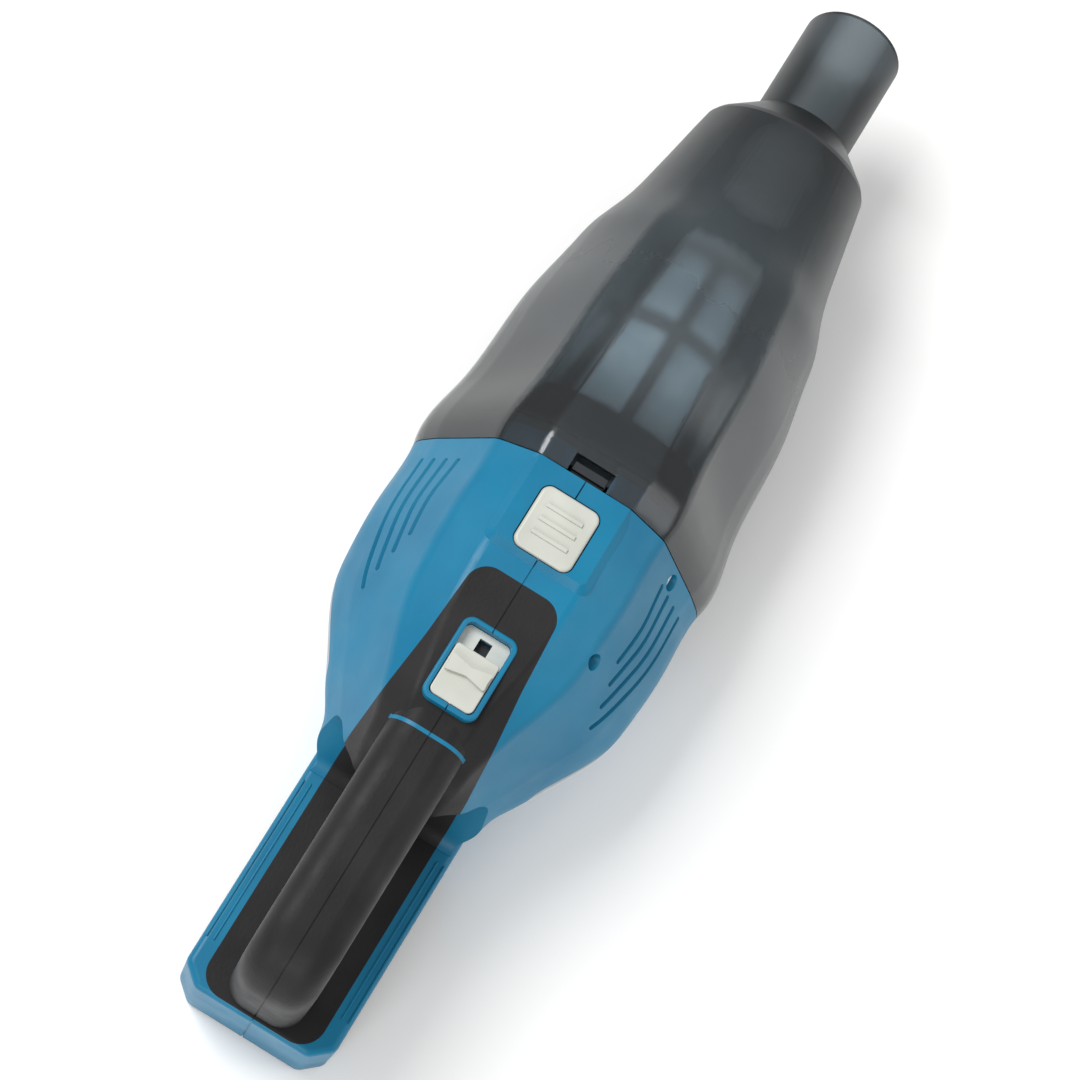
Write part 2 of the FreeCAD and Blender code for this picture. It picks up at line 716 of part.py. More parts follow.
def screw_holes():
    """Counterbores for the heads and holes for the shanks."""
    play = size("screw_play")
    holes = []
    for back, z, seat in SCREWS + [SHORT_SCREW]:
        reach = screw_length(seat) + 1
        holes.append(bar_round("y", -FAR / 4, FAR / 4 + seat, size("screw_head_radius") + play, (-back, z)))
        holes.append(bar_round("y", seat - 1, reach + 1, size("screw_radius") + play / 5, (-back, z)))
    return holes


def screw_length(seat):
    """A screw reaches past the seam by a little less than its seat is deep; the short one doesn't."""
    return 5.0 if seat == SHORT_SCREW[2] else min(-seat * 1.6, -seat + 10)


def bay_cut(play=0.0):
    """The room that the battery pack takes up in the base, open below and to both sides."""
    front = -size("pack_front") + play
    rear = -size("pack_rear") - play
    floor = -FAR / 4
    middle = slab(rear, front, -FAR / 4, FAR / 4, floor, -size("lid_top") + play)
    inner = size("base_half") - size("flange_wide") - play
    sides = []
    for low, high in ((-FAR / 4, -inner), (inner, FAR / 4)):
        sides.append(slab(rear, front, low, high, floor, -size("flange_top") + play))
    return middle.fuse(sides)


def housing():
    """Both housing halves and both grips, before they are parted along the seam."""
    wall = size("wall")
    shell_outer = lower_form()
    ring = handle_ring()
    surround = prism(bezel_corners(), plan_view(size("switch_floor") - 6),
                     Vector(0, 0, size("bezel_top") - size("switch_floor") + 6))
    surround = surround.makeFillet(0.8, [edge for edge in surround.Edges
                                         if edge.BoundBox.ZMin > size("bezel_top") - 0.01])
    outer = shell_outer.fuse([ring, platform()]).fuse(surround)

    # the soft grip lies in a shallow recess of the shell and wraps the bar; a narrow rib of the
    # shell comes through it across the front of the bar
    thick = size("grip_thick")
    grip = shell_outer.fuse(ring).common(grip_region())
    grip = grip.cut(lower_form(thick).fuse(handle_ring(thick)))
    cross_rib = slab(-size("bar_front") - size("cross_rib"), -size("bar_front"), -size("handle_half") - 0.3,
                     size("handle_half") + 0.3, size("handle_top_rear") - 6, FAR / 4)
    grip = grip.cut([surround, platform(), cross_rib])
    grip = max(grip.Solids, key=lambda solid: solid.Volume)

    inner = loft(BULB, wall).fuse(base_block(wall)).cut(loop_opening(wall))
    inner = inner.fuse(handle_ring(wall))
    inner = inner.cut(handle_keep())
    bay_wall = bay_block()
    inner = inner.cut(bay_wall)
    shell = outer.cut(inner)

    # bulkheads that carry the fan shroud and the rear of the motor
    room = loft(BULB, wall * 0.5)
    thick = size("bulkhead_thick")
    front = slab(-size("bulkhead_front") - thick, -size("bulkhead_front"), -FAR / 4, FAR / 4, -FAR / 4, FAR / 4)
    front = room.common(front).cut(bar_round("x", -FAR / 2, FAR, size("motor_radius") + 14, (0, 0)))
    back = slab(-size("cradle_x") - thick, -size("cradle_x"), -FAR / 4, FAR / 4, -FAR / 4, FAR / 4)
    back = room.common(back).cut(bar_round("x", -FAR / 2, FAR, size("motor_radius") + 3, (0, 0)))
    back = back.cut(slab(-FAR, FAR, -FAR, FAR, size("motor_radius") + 9, FAR))
    bosses = [boss.common(outer) for boss in screw_bosses()]
    cradle = prism(bezel_corners(), plan_view(size("cradle_low")),
                   Vector(0, 0, size("switch_floor") - size("cradle_low")))
    shell = shell.fuse([front, back, neck(), cradle] + bosses + spring_shelf())

    tools = [grip, bay_cut(size("fit_gap")), button_well(), switch_well()] + vents()
    tools += screw_holes() + foot_wells() + trim_wells() + terminal_well()
    shell = shell.cut(tools)
    return shell, grip, outer


def handle_keep():
    """Keeps the housing solid where the loop's front wall meets the bulb."""
    return slab(-size("bar_front") + 1, -size("bar_front") + 4, -FAR / 4, FAR / 4,
                size("loop_top") + 1, size("loop_top") + 8)


def bay_block():
    """The walls round the battery bay: its ceiling, front and rear."""
    play = size("fit_gap")
    skin = size("wall") * 0.8
    front = -size("pack_front") + play + skin
    rear = -size("pack_rear") - play - skin
    half = size("base_half")
    low = slab(rear, front, -half, half, -size("base_drop") - 5, -size("lid_top") + play + skin)
    inner = half - size("flange_wide") - play - skin
    sides = [slab(rear, front, -half, -inner, -size("base_drop") - 5, -size("flange_top") + play + skin * 0.5),
             slab(rear, front, inner, half, -size("base_drop") - 5, -size("flange_top") + play + skin * 0.5)]
    return low.fuse(sides)


def neck():
    """The spigot in front of the joint, which the cup's rim slides over."""
    gap = size("cup_wall") + size("fit_gap")
    length = size("neck_length")
    ends = [station_between(CUP, 0), station_between(CUP, length)]
    outside = loft(ends, gap)
    inside = loft([Station(-1, ends[0].half, ends[0].rise, ends[0].drop),
                   Station(length + 1, ends[1].half, ends[1].rise, ends[1].drop)], gap + size("neck_wall"))
    collar = loft([Station(-3, ends[0].half, ends[0].rise, ends[0].drop), ends[0]], size("cup_wall") * 0.4)
    collar = collar.cut(loft([Station(-4, ends[0].half, ends[0].rise, ends[0].drop),
                              Station(1, ends[0].half, ends[0].rise, ends[0].drop)], gap + size("neck_wall")))
    slot = slab(-2, length + 1, -size("notch_half"), size("notch_half"),
                size("top_rise") - 14, size("top_rise") + 1)
    return outside.cut(inside).fuse(collar).cut(slot)


def button_well():
    """The well that the release button and its hook move in."""
    play = size("fit_gap")
    front = -size("button_front") + play
    rear = -size("button_front") - size("button_length") - play
    half = size("button_half") + play
    corner = size("button_corner") + play
    corners = [(rear, -half, corner), (front, -half, corner), (front, half, corner), (rear, half, corner)]
    low = size("spring_foot")
    well = prism(corners, plan_view(low), Vector(0, 0, FAR / 8))
    channel_half = size("hook_half") + play
    hook_low = size("hook_floor") - size("button_travel") - 1
    channel = slab(-size("button_front") - 4, size("neck_length") + 1, -channel_half, channel_half,
                   hook_low, size("hook_ceiling") + play)
    return well.fuse(channel)


def spring_shelf():
    """A shelf across the housing under the release spring."""
    low = size("spring_foot") - size("wall") * 0.7
    mid = size("button_mid")
    span = size("spring_radius") + 2
    reach = size("half_width") * 0.8
    shelf = slab(mid - span, mid + span, -reach, reach, low, size("spring_foot"))
    return [shelf.common(loft(BULB, size("wall") * 0.5))]


def switch_well():
    """The well that the slider runs in, and the slot for its stem."""
    plate_low = size("switch_floor") - size("plate_thick")
    well = prism(bezel_corners(-size("bezel_rim")), plan_view(plate_low), Vector(0, 0, FAR / 8))
    play = size("slider_play")
    front = -size("slider_front") + size("slider_travel")
    slot = slab(-size("slider_rear") + 2, front - 2, -size("stem_half") - play, size("stem_half") + play,
                size("switch_floor") - 14, size("switch_floor"))
    return well.fuse(slot)


def terminal_well():
    """The opening in the bay's ceiling for the terminal block."""
    mid = -size("pack_front") - size("pack_length") / 2
    play = size("seat_gap")
    half_long = size("blade_wide") + play
    half_wide = size("blade_pitch") * 1.6 + play
    return [slab(mid - half_long, mid + half_long, -half_wide, half_wide,
                 -size("lid_top") - 1, -size("lid_top") + size("wall") * 2)]


def foot_places():
    """Centres of the four feet: behind the joint, and to the side."""
    places = []
    for back in (size("foot_front"), size("foot_rear") - 1):
        for side in (-1, 1):
            places.append((-back, side * size("foot_side")))
    return places


def foot_wells():
    wells = []
    for x, y in foot_places():
        wells.append(bar_round("z", -size("axis_height"), size("foot_thick"),
                               size("foot_radius") + size("seat_gap"), (x, y)))
    return wells


def trim_region():
    """Side view of the grey trims on the flanks."""
    corners = [(-size("trim_rear"), -size("trim_low"), 5), (-size("trim_front"), -size("trim_low") + 2, 5),
               (-size("trim_front"), -size("trim_high") - 2, 5), (-size("trim_rear"), -size("trim_high"), 5)]
    return prism(corners, side_view(-FAR / 4), Vector(0, FAR / 2, 0))


def trim_solids():
    """The trims fill shallow recesses in the flanks: right first, then left."""
    skin = loft(BULB).cut(loft(BULB, size("trim_thick"))).common(trim_region())
    solids = sorted(skin.Solids, key=lambda solid: solid.CenterOfMass.y)
    return [solids[0], solids[-1]]


def trim_wells():
    return trim_solids()


derive("cradle_low", "switch_floor - plate_thick - 2.2")
derive("cone_slope", "(shoulder_radius - cup_wall - 0.6 - bore_radius)/(collar_x - cup_wall*0.6 - cup_length)")
derive("hook_ceiling", "top_rise - cup_wall - 0.6")
derive("hook_floor", "hook_ceiling - hook_thick")
derive("spring_foot", "button_top - button_thick - spring_length")
doc.recompute()


# ---------------------------------------------------------------- dust cup and inlet

def make_dust_cup():
    wall = size("cup_wall")
    rear = size("cup_start")
    outer_stations = [station_between(CUP, rear)] + CUP[1:]
    outer = loft(outer_stations)
    lead = [Station(station.x, station.half, station.rise, station.drop, station.roundness)
            for station in CUP]
    lead[0].x = -2
    lead[-1].x -= wall
    inner = loft(lead, wall)
    length = size("cup_length")
    collar = size("collar_x")
    tip = size("nozzle_reach")
    radius = size("nozzle_radius")
    shoulder = size("shoulder_radius")
    bore = size("bore_radius")

    def spin(points):
        wire = Part.makePolygon([Vector(x, y, 0) for x, y in points + points[:1]])
        return Part.Face(wire).revolve(Vector(), Vector(1, 0, 0), 360)

    dome_out = spin([(length - 3, 0), (length - 3, shoulder), (length, shoulder), (length + 2, shoulder - 1.2),
                     (collar, radius), (tip + 2, radius), (tip + 2, 0)])
    dome_in = spin([(length - wall - 1, 0), (length - wall - 1, shoulder - wall), (length, shoulder - wall - 0.6),
                    (collar - wall * 0.6, bore), (tip + 3, bore), (tip + 3, 0)])
    mouth = Part.makeBox(FAR, FAR, FAR, Vector(0, -FAR / 2, -FAR / 2))
    mouth.Placement = Placement(Vector(tip, 0, radius), Rotation(Vector(0, 1, 0), size("mouth_slant")))
    notch = slab(-1, size("notch_length"), -size("notch_half"), size("notch_half"),
                 size("top_rise") - 10, size("top_rise") + 5)
    cup = outer.fuse(dome_out).cut([inner, dome_in, mouth, notch])
    shaped("dust_cup", cup)


def make_inlet():
    turned("inlet_duct", [
        ("duct_rear", "duct_radius - duct_wall"), ("collar_x - 2", "duct_radius - duct_wall"),
        ("collar_x - 2", "bore_radius + (2 - cup_wall*0.6)*cone_slope - 2*seat_gap"),
        ("collar_x - 5", "bore_radius + (5 - cup_wall*0.6)*cone_slope - 2*seat_gap"),
        ("collar_x - 7", "duct_radius"), ("duct_rear", "duct_radius")])
    disc = rod("x", ("flap_x", "flap_x + flap_thick"), "duct_radius - 0.9")
    tab = block(("flap_x", "flap_x + flap_thick"), ("-flap_half + 4", "flap_half - 4"),
                ("duct_radius/2", "flap_pin_rise"))
    knuckle = rod("y", ("-flap_half + 4", "flap_half - 4"), "flap_pin_radius*1.6",
                  ("flap_x + flap_thick/2", "flap_pin_rise"))
    hole = rod("y", ("-flap_half", "flap_half"), "flap_pin_radius + 0.1",
               ("flap_x + flap_thick/2", "flap_pin_rise"))
    piece("inlet_flap", cut(join(disc, tab, knuckle), hole))
    pin = rod("y", ("-flap_half", "flap_half"), "flap_pin_radius", ("flap_x + flap_thick/2", "flap_pin_rise"))
    piece("flap_pin", pin)
    ears = []
    for side in ("-1", "1"):
        middle = "%s*(flap_half - 1.6)" % side
        ear = block(("flap_x - 1.4", "duct_rear + 5"), (middle + " - 1.2", middle + " + 1.2"),
                    ("duct_radius - 5.5", "flap_pin_rise + 2.2"))
        hollow = rod("x", ("flap_x - 2", "duct_rear + 6"), "duct_radius + seat_gap")
        bore = rod("y", ("-flap_half - 1", "flap_half + 1"), "flap_pin_radius + 0.02",
                   ("flap_x + flap_thick/2", "flap_pin_rise"))
        ears.append(cut(ear, hollow, bore))
    piece("flap_ears", *ears)


# ---------------------------------------------------------------- seal, filter seat and filter

def make_filter_seat():
    rear = size("neck_length") + size("seat_gap")
    front = size("seat_front")
    inset = size("seat_inset")
    wall = size("seat_wall")
    gap = size("cup_wall") + size("fit_gap") + size("neck_wall")
    rim = loft([station_between(CUP, rear), station_between(CUP, front)], inset)
    flange = loft([station_between(CUP, rear), station_between(CUP, rear + 3)], gap - size("neck_wall"))
    plug = loft([Station(rear - 5, *plain(rear)), Station(rear, *plain(rear))], gap + size("seat_gap"))
    hollow = loft([Station(rear - 6, *plain(rear)), Station(front - 4, *plain(front))], inset + wall)
    spigot = bar_round("x", front - 5, size("spigot_front") - front + 5, size("spigot_radius"), (0, 0))
    bore = bar_round("x", rear - 8, size("spigot_front") - rear + 9,
                     size("spigot_radius") - size("spigot_wall"), (0, 0))
    solid = rim.fuse([flange, plug]).cut(hollow).fuse(spigot).cut(bore)
    spokes = []
    for number in range(3):
        spoke = slab(front - 4, front - 1, -size("spigot_radius") + 1, size("spigot_radius") - 1, -1.1, 1.1)
        spoke.rotate(Vector(), Vector(1, 0, 0), 60 * number)
        spokes.append(spoke)
    hub = bar_round("x", front - 4, 3, 6, (0, 0))
    channel = slab(rear - 6, rear + 4, -size("hook_half") - size("fit_gap"), size("hook_half") + size("fit_gap"),
                   size("hook_floor") - size("button_travel") - 1, size("top_rise"))
    shaped("filter_seat", solid.fuse(spokes + [hub]).cut(channel))


def plain(x):
    """Half width, rise and drop of the cup's section at x."""
    station = station_between(CUP, x)
    return station.half, station.rise, station.drop


def make_cup_seal():
    rear = size("seal_rear")
    front = rear + size("seal_width")
    outside = loft([station_between(CUP, rear), station_between(CUP, front)],
                   size("cup_wall") + size("seal_gap"))
    inside = loft([Station(rear - 1, *plain(rear - 1)), Station(front + 1, *plain(front + 1))],
                  size("seat_inset") - size("seat_gap"))
    shaped("cup_seal", outside.cut(inside))


def filter_radius(x, inset=0.0):
    """The filter frame's outside is a cone."""
    rear = size("filter_rear")
    share = (x - rear) / (size("filter_front") - rear)
    return size("filter_base_radius") + (size("filter_tip_radius") - size("filter_base_radius")) * share - inset


def cone_shell(low, high, outer_inset, inner_inset):
    outer = Part.makeCone(filter_radius(low, outer_inset), filter_radius(high, outer_inset), high - low,
                          Vector(low, 0, 0), Vector(1, 0, 0))
    inner = Part.makeCone(filter_radius(low, inner_inset), filter_radius(high, inner_inset), high - low,
                          Vector(low, 0, 0), Vector(1, 0, 0))
    return outer.cut(inner)


def make_filter():
    rear = size("filter_rear")
    front = size("filter_front")
    ring = size("filter_ring")
    bar = size("filter_bar")
    middle = (rear + front) / 2 + 2
    rings = [cone_shell(low, low + ring, 0, bar) for low in (rear, middle, front - ring)]
    ribs = []
    whole = cone_shell(rear, front, 0, bar)
    for number in range(8):
        rib = slab(rear, front, -size("filter_rib") / 2, size("filter_rib") / 2, 1, size("filter_base_radius") + 1)
        rib.rotate(Vector(), Vector(1, 0, 0), 45 * number)
        ribs.append(rib.common(whole))
    cap = bar_round("x", front - bar, bar, filter_radius(front, 0.5), (0, 0))
    cap = cap.cut(bar_round("x", front - bar - 1, bar + 2, filter_radius(front, 6), (0, 0)))
    cross = []
    for number in range(2):
        arm = slab(front - bar, front, -filter_radius(front, 1), filter_radius(front, 1), -2, 2)
        arm.rotate(Vector(), Vector(1, 0, 0), 90 * number)
        cross.append(arm)
    collar = bar_round("x", rear, 4, filter_radius(rear + 4), (0, 0))
    hole = bar_round("x", rear - 1, 6, size("spigot_radius") + size("seal_gap") * 2, (0, 0))
    frame = rings[0].fuse(rings[1:] + ribs + [cap, collar] + cross).cut(hole)
    shaped("filter_frame", frame)

    thick = size("cloth_thick")
    gap = bar + size("seat_gap")
    start = rear + 4 + size("seat_gap")
    end = front - bar - size("seat_gap")
    cloth = cone_shell(start, end, gap, gap + thick)
    lid = bar_round("x", end - thick, thick, filter_radius(end, gap), (0, 0))
    shaped("filter_cloth", cloth.fuse(lid))
    turned("filter_seal", ring_outline("seat_front + seat_gap", "filter_rear - seat_gap",
                                       "spigot_radius + seal_gap", "filter_base_radius - 1"))


# ---------------------------------------------------------------- housing halves, grips and trims

def make_housing():
    shell, grip, outer = housing()
    half_seam = size("seam_width") / 2
    groove = outer.cut(lower_form(size("seam_depth")).fuse(handle_ring(size("seam_depth"))))
    groove = groove.common(slab(-FAR, 0, -half_seam, half_seam, -FAR, FAR))
    for name, low, high in (("left", 0, FAR / 2), ("right", -FAR / 2, 0)):
        side = slab(-FAR, FAR, low, high, -FAR / 2, FAR / 2)
        half = shell.common(side).cut(groove)
        half = max(half.Solids, key=lambda solid: solid.Volume)
        shaped("body_" + name, half)
        skin = grip.common(side).cut(groove)
        skin = max(skin.Solids, key=lambda solid: solid.Volume)
        shaped("grip_" + name, skin)
    for name, solid in zip(("right", "left"), trim_solids()):
        shaped("side_trim_" + name, solid)


def make_screws():
    solids = []
    for back, z, seat in SCREWS + [SHORT_SCREW]:
        place = (str(-back), str(z))
        head = rod("y", ("%s - screw_head" % seat, str(seat)), "screw_head_radius", place)
        shank = rod("y", (str(seat), str(seat + screw_length(seat))), "screw_radius", place)
        socket = rod("y", ("%s - screw_head - 1" % seat, "%s - screw_head/2" % seat), "screw_radius*0.7", place)
        solids.append(cut(join(head, shank), socket))
    piece("housing_screws", *solids)


def make_feet():
    solids = []
    for back in ("foot_front", "foot_rear - 1"):
        for side in ("-foot_side", "foot_side"):
            solids.append(rod("z", ("-axis_height", "-axis_height + foot_thick"), "foot_radius",
                              ("-(%s)" % back, side)))
    piece("rubber_feet", *solids)


# ---------------------------------------------------------------- release button and latch

def make_release():
    top = size("button_top")
    thick = size("button_thick")
    front = -size("button_front")
    rear = front - size("button_length")
    half = size("button_half")
    corner = size("button_corner")
    corners = [(rear, -half, corner), (front, -half, corner), (front, half, corner), (rear, half, corner)]
    button = prism(corners, plan_view(top - thick), Vector(0, 0, thick))
    button = button.makeFillet(1.2, [edge for edge in button.Edges if edge.BoundBox.ZMin > top - 0.01])
    ribs = []
    for number in (-1, 0, 1):
        middle = size("button_mid") + number * size("rib_pitch")
        rib = slab(middle - size("rib_width") / 2, middle + size("rib_width") / 2,
                   -half * 0.62, half * 0.62, top - 1, top + size("rib_rise"))
        ribs.append(rib.makeFillet(0.35, [edge for edge in rib.Edges
                                          if edge.BoundBox.ZMin > top + size("rib_rise") - 0.01]))
    hollow_wall = 2.0
    hollow = slab(rear + hollow_wall, front - hollow_wall, -half + hollow_wall, half - hollow_wall,
                  top - thick - 1, top - hollow_wall)
    boss = bar_round("z", top - thick, thick - 1, size("spring_radius") - size("spring_wire") - 0.6,
                     (size("button_mid"), 0))
    shaped("release_button", button.cut(hollow).fuse(ribs + [boss]))

    tooth_top = size("top_rise") - 0.6
    strap = block(("-button_front + seat_gap", "notch_length - 2.2"), ("-hook_half", "hook_half"),
                  ("hook_floor", "hook_ceiling"))
    tooth = block(("notch_length - 5.2", "notch_length - 2.2"), ("-hook_half", "hook_half"),
                  ("hook_floor", str(tooth_top)))
    piece("latch_hook", join(strap, tooth))
    coil = rod("z", ("spring_foot", "spring_foot + spring_length"), "spring_radius", ("button_mid", "0"))
    core = rod("z", ("spring_foot - 1", "spring_foot + spring_length + 1"), "spring_radius - spring_wire",
               ("button_mid", "0"))
    piece("release_spring", cut(coil, core))


# ---------------------------------------------------------------- switch

def make_switch():
    play = size("seat_gap")
    floor = size("switch_floor")
    plate = prism(bezel_corners(-size("bezel_rim") - play), plan_view(floor - size("plate_thick")),
                  Vector(0, 0, size("plate_thick")))
    slot = slab(-size("slider_rear") + 2, -size("slider_front") + size("slider_travel") - 2,
                -size("stem_half") - 0.35, size("stem_half") + 0.35, floor - 5, floor + 5)
    plate = plate.cut(slot)
    shaped("switch_plate", plate)

    half = size("well_half") - size("slider_play")
    low = floor + 0.3
    top = size("slider_top")
    front = -size("slider_front")
    rear = -size("slider_rear")
    corners = [(rear, -half, 2.4), (front, -half, 1.2), (front, half, 1.2), (rear, half, 2.4)]
    body = prism(corners, plan_view(low), Vector(0, 0, top - low))
    body = body.makeFillet(0.5, [edge for edge in body.Edges if edge.BoundBox.ZMin > top - 0.01])
    middle = front - 7.5
    waist = 1.6
    wing = 3.2
    tall = 2.2
    ridge = [(middle - wing, -half + 0.6, 0.6), (middle, -half + 0.9, 3), (middle + wing, -half + 0.6, 0.6),
             (middle + waist, 0, 4), (middle + wing, half - 0.6, 0.6), (middle, half - 0.9, 3),
             (middle - wing, half - 0.6, 0.6), (middle - waist, 0, 4)]
    thumb = prism(ridge, plan_view(top - 0.5), Vector(0, 0, tall))
    stem = slab(rear + 3, front - 3 - size("slider_travel") * 0.2, -size("stem_half"), size("stem_half"),
                size("cradle_low") + 0.25, low + 1)
    shaped("switch_slider", body.fuse([thumb, stem]))
    piece("switch_block", block(("-bezel_rear + 4", "-bezel_front - 4"), ("-6", "6"),
                                ("cradle_low - 13", "cradle_low - seat_gap")))


# ---------------------------------------------------------------- fan and motor

def make_fan():
    turned("fan_shroud", [
        ("-bulkhead_front + seat_gap", "shroud_radius"), ("shroud_front", "shroud_radius"),
        ("shroud_front", "fan_eye"), ("shroud_front - shroud_wall", "fan_eye"),
        ("shroud_front - shroud_wall", "shroud_radius - shroud_wall"),
        ("-bulkhead_front + seat_gap", "shroud_radius - shroud_wall")])
    rear = -size("fan_rear")
    radius = size("fan_radius")
    plate = size("fan_plate")
    hub = bar_round("x", rear, size("fan_depth"), size("shaft_radius") + 4, (0, 0))
    disc = bar_round("x", rear, plate, radius, (0, 0))
    eye = bar_round("x", rear + size("fan_depth") - 1.2, 1.2, radius, (0, 0))
    eye = eye.cut(bar_round("x", rear, size("fan_depth") + 1, size("fan_eye") - 1, (0, 0)))
    blades = []
    for number in range(int(size("blade_count"))):
        inner = size("fan_eye") - 3
        arc_top = Vector(0, inner, 0)
        lean = Vector(0, (inner + radius) / 2, -6)
        end = Vector(0, radius - 0.5, 2)
        path = Part.Arc(arc_top, lean, end).toShape()
        strip = path.extrude(Vector(size("fan_depth") - 0.6, 0, 0))
        blade = strip.makeOffsetShape(size("blade_thick"), 0.01, fill=True)
        blade.translate(Vector(rear + 0.3, 0, 0))
        blade.rotate(Vector(), Vector(1, 0, 0), 360.0 / size("blade_count") * number)
        blades.append(blade)
    bore = bar_round("x", rear - 1, size("fan_depth") + 2, size("shaft_radius") + 0.02, (0, 0))
    shaped("impeller", disc.fuse([hub, eye] + blades).cut(bore))


def make_motor():
    turned("motor_can", [
        ("-motor_rear", "motor_radius"), ("-motor_front", "motor_radius"),
        ("-motor_front", "bearing_radius + seat_gap"), ("-motor_front - motor_wall", "bearing_radius + seat_gap"),
        ("-motor_front - motor_wall", "motor_radius - motor_wall"), ("-motor_rear", "motor_radius - motor_wall")])
    turned("motor_end_cap", [
        ("-motor_rear - end_cap", "bearing_radius + seat_gap"), ("-motor_rear - end_cap", "motor_radius - 3"),
        ("-motor_rear - end_cap + 2", "motor_radius - 1"), ("-motor_rear - seat_gap", "motor_radius - 1"),
        ("-motor_rear - seat_gap", "bearing_radius + seat_gap")])
    turned("motor_shaft", [("-motor_rear - end_cap - 1", "0"), ("-fan_front + 1", "0"),
                           ("-fan_front + 1", "shaft_radius"), ("-motor_rear - end_cap - 1", "shaft_radius")])
    turned("front_bearing", ring_outline("-motor_front - bearing_length", "-motor_front",
                                         "shaft_radius + 0.02", "bearing_radius"))
    turned("rear_bearing", ring_outline("-motor_rear - end_cap", "-motor_rear - end_cap + bearing_length",
                                        "shaft_radius + 0.02", "bearing_radius"))
    turned("armature", [
        ("-motor_rear + 3", "shaft_radius + 0.02"), ("-motor_front - 8", "shaft_radius + 0.02"),
        ("-motor_front - 8", "armature_radius"), ("-motor_rear + 15", "armature_radius"),
        ("-motor_rear + 15", "armature_radius/2"), ("-motor_rear + 3", "armature_radius/2")])
    rear = -size("motor_rear") + 10
    length = size("motor_length") - 16
    outer = size("magnet_radius")
    pole = bar_round("x", rear, length, outer, (0, 0)).cut(
        bar_round("x", rear - 1, length + 2, outer - size("magnet_thick"), (0, 0)))
    poles = [pole.common(slab(-FAR, FAR, low, high, -outer, outer))
             for low, high in ((-outer, -outer * 0.45), (outer * 0.45, outer))]
    shaped("motor_magnets", Part.makeCompound(poles))
    turned("front_motor_mount", [
        ("-motor_front + seat_gap", "bearing_radius + 2"), ("-bulkhead_front - bulkhead_thick + 3", "bearing_radius + 2"),
        ("-bulkhead_front - bulkhead_thick + 3", "motor_radius + 14 - seat_gap"),
        ("-motor_front + seat_gap", "motor_radius + 14 - seat_gap")])
    turned("rear_motor_mount", ring_outline("-cradle_x - bulkhead_thick", "-cradle_x",
                                            "motor_radius + seat_gap", "motor_radius + 3 - seat_gap"))
    cap_z = "motor_radius*0.4"
    piece("motor_capacitor", rod("x", ("-motor_rear - end_cap - 3.6", "-motor_rear - end_cap - 0.05"), "3.2",
                                 ("0", cap_z + " + 3")))


# ---------------------------------------------------------------- battery pack

def make_cells():
    solids = []
    count = int(size("cell_count"))
    for number in range(count):
        across = "(%s)*(cell_diameter + cell_gap)" % (number - (count - 1) / 2)
        solids.append(rod("x", ("-pack_rear + case_wall + 0.25", "-pack_front - case_wall - 0.25"),
                          "cell_diameter/2", (across, "cell_z")))
    piece("battery_cells", *solids)


def make_case():
    outer = block(("-pack_rear", "-pack_front"), ("-base_half", "base_half"), ("pack_bottom", "-lid_split"))
    rear_inner = "-pack_rear + case_wall"
    front_inner = "-pack_front - case_wall"
    room = block((rear_inner, front_inner), ("-base_half + case_wall", "base_half - case_wall"),
                 ("pack_bottom + case_floor", "-lid_split + 1"))
    piece("battery_case", cut(outer, room))


def make_lid():
    half = size("base_half")
    front = -size("pack_front")
    rear = -size("pack_rear")
    split = -size("lid_split") + size("seat_gap")
    flange = size("flange_wide")
    whole = slab(rear, front, -half, half, split, -size("flange_top"))
    whole = whole.makeFillet(1.2, [edge for edge in whole.Edges
                                   if edge.BoundBox.ZMin > -size("flange_top") - 0.01
                                   and edge.BoundBox.YMax - edge.BoundBox.YMin < 0.1])
    channel = slab(rear - 1, front + 1, -half + flange, half - flange, -size("lid_top"), 0)
    room = slab(rear + size("case_wall"), front - size("case_wall"), -half + flange + 1, half - flange - 1,
                split - 1, -size("lid_top") - size("lid_wall"))
    grooves = []
    pockets = []
    z_groove = -size("flange_top") + 1
    mid = (front + rear) / 2
    for side in (-1, 1):
        centre = side * (half - flange / 2)
        width = size("groove_width") / 2
        grooves.append(slab(rear - 1, front + 1, centre - width, centre + width,
                            z_groove - 1 - size("groove_depth"), z_groove))
        deep = size("latch_depth") + size("latch_travel") + 1.2
        low, high = sorted((side * (half + 1), side * (half - deep)))
        pockets.append(slab(mid - size("latch_length") / 2 - size("fit_gap"),
                            mid + size("latch_length") / 2 + size("fit_gap"), low, high,
                            latch_z() - size("latch_height") / 2 - size("fit_gap"),
                            latch_z() + size("latch_height") / 2 + size("fit_gap")))
    slots = []
    for number in (-1, 0, 1):
        y = number * size("blade_pitch")
        slots.append(slab(mid - size("blade_wide") / 2 - 0.5, mid + size("blade_wide") / 2 + 0.5,
                          y - size("blade_sheet") / 2 - 0.4, y + size("blade_sheet") / 2 + 0.4,
                          -size("lid_top") - 5, -size("lid_top") + 1))
    shaped("battery_lid", whole.cut([channel, room] + grooves + pockets + slots))


def latch_z():
    """Height of the battery latch buttons on the flanges."""
    return -size("flange_top") - size("latch_drop") - size("latch_height") / 2


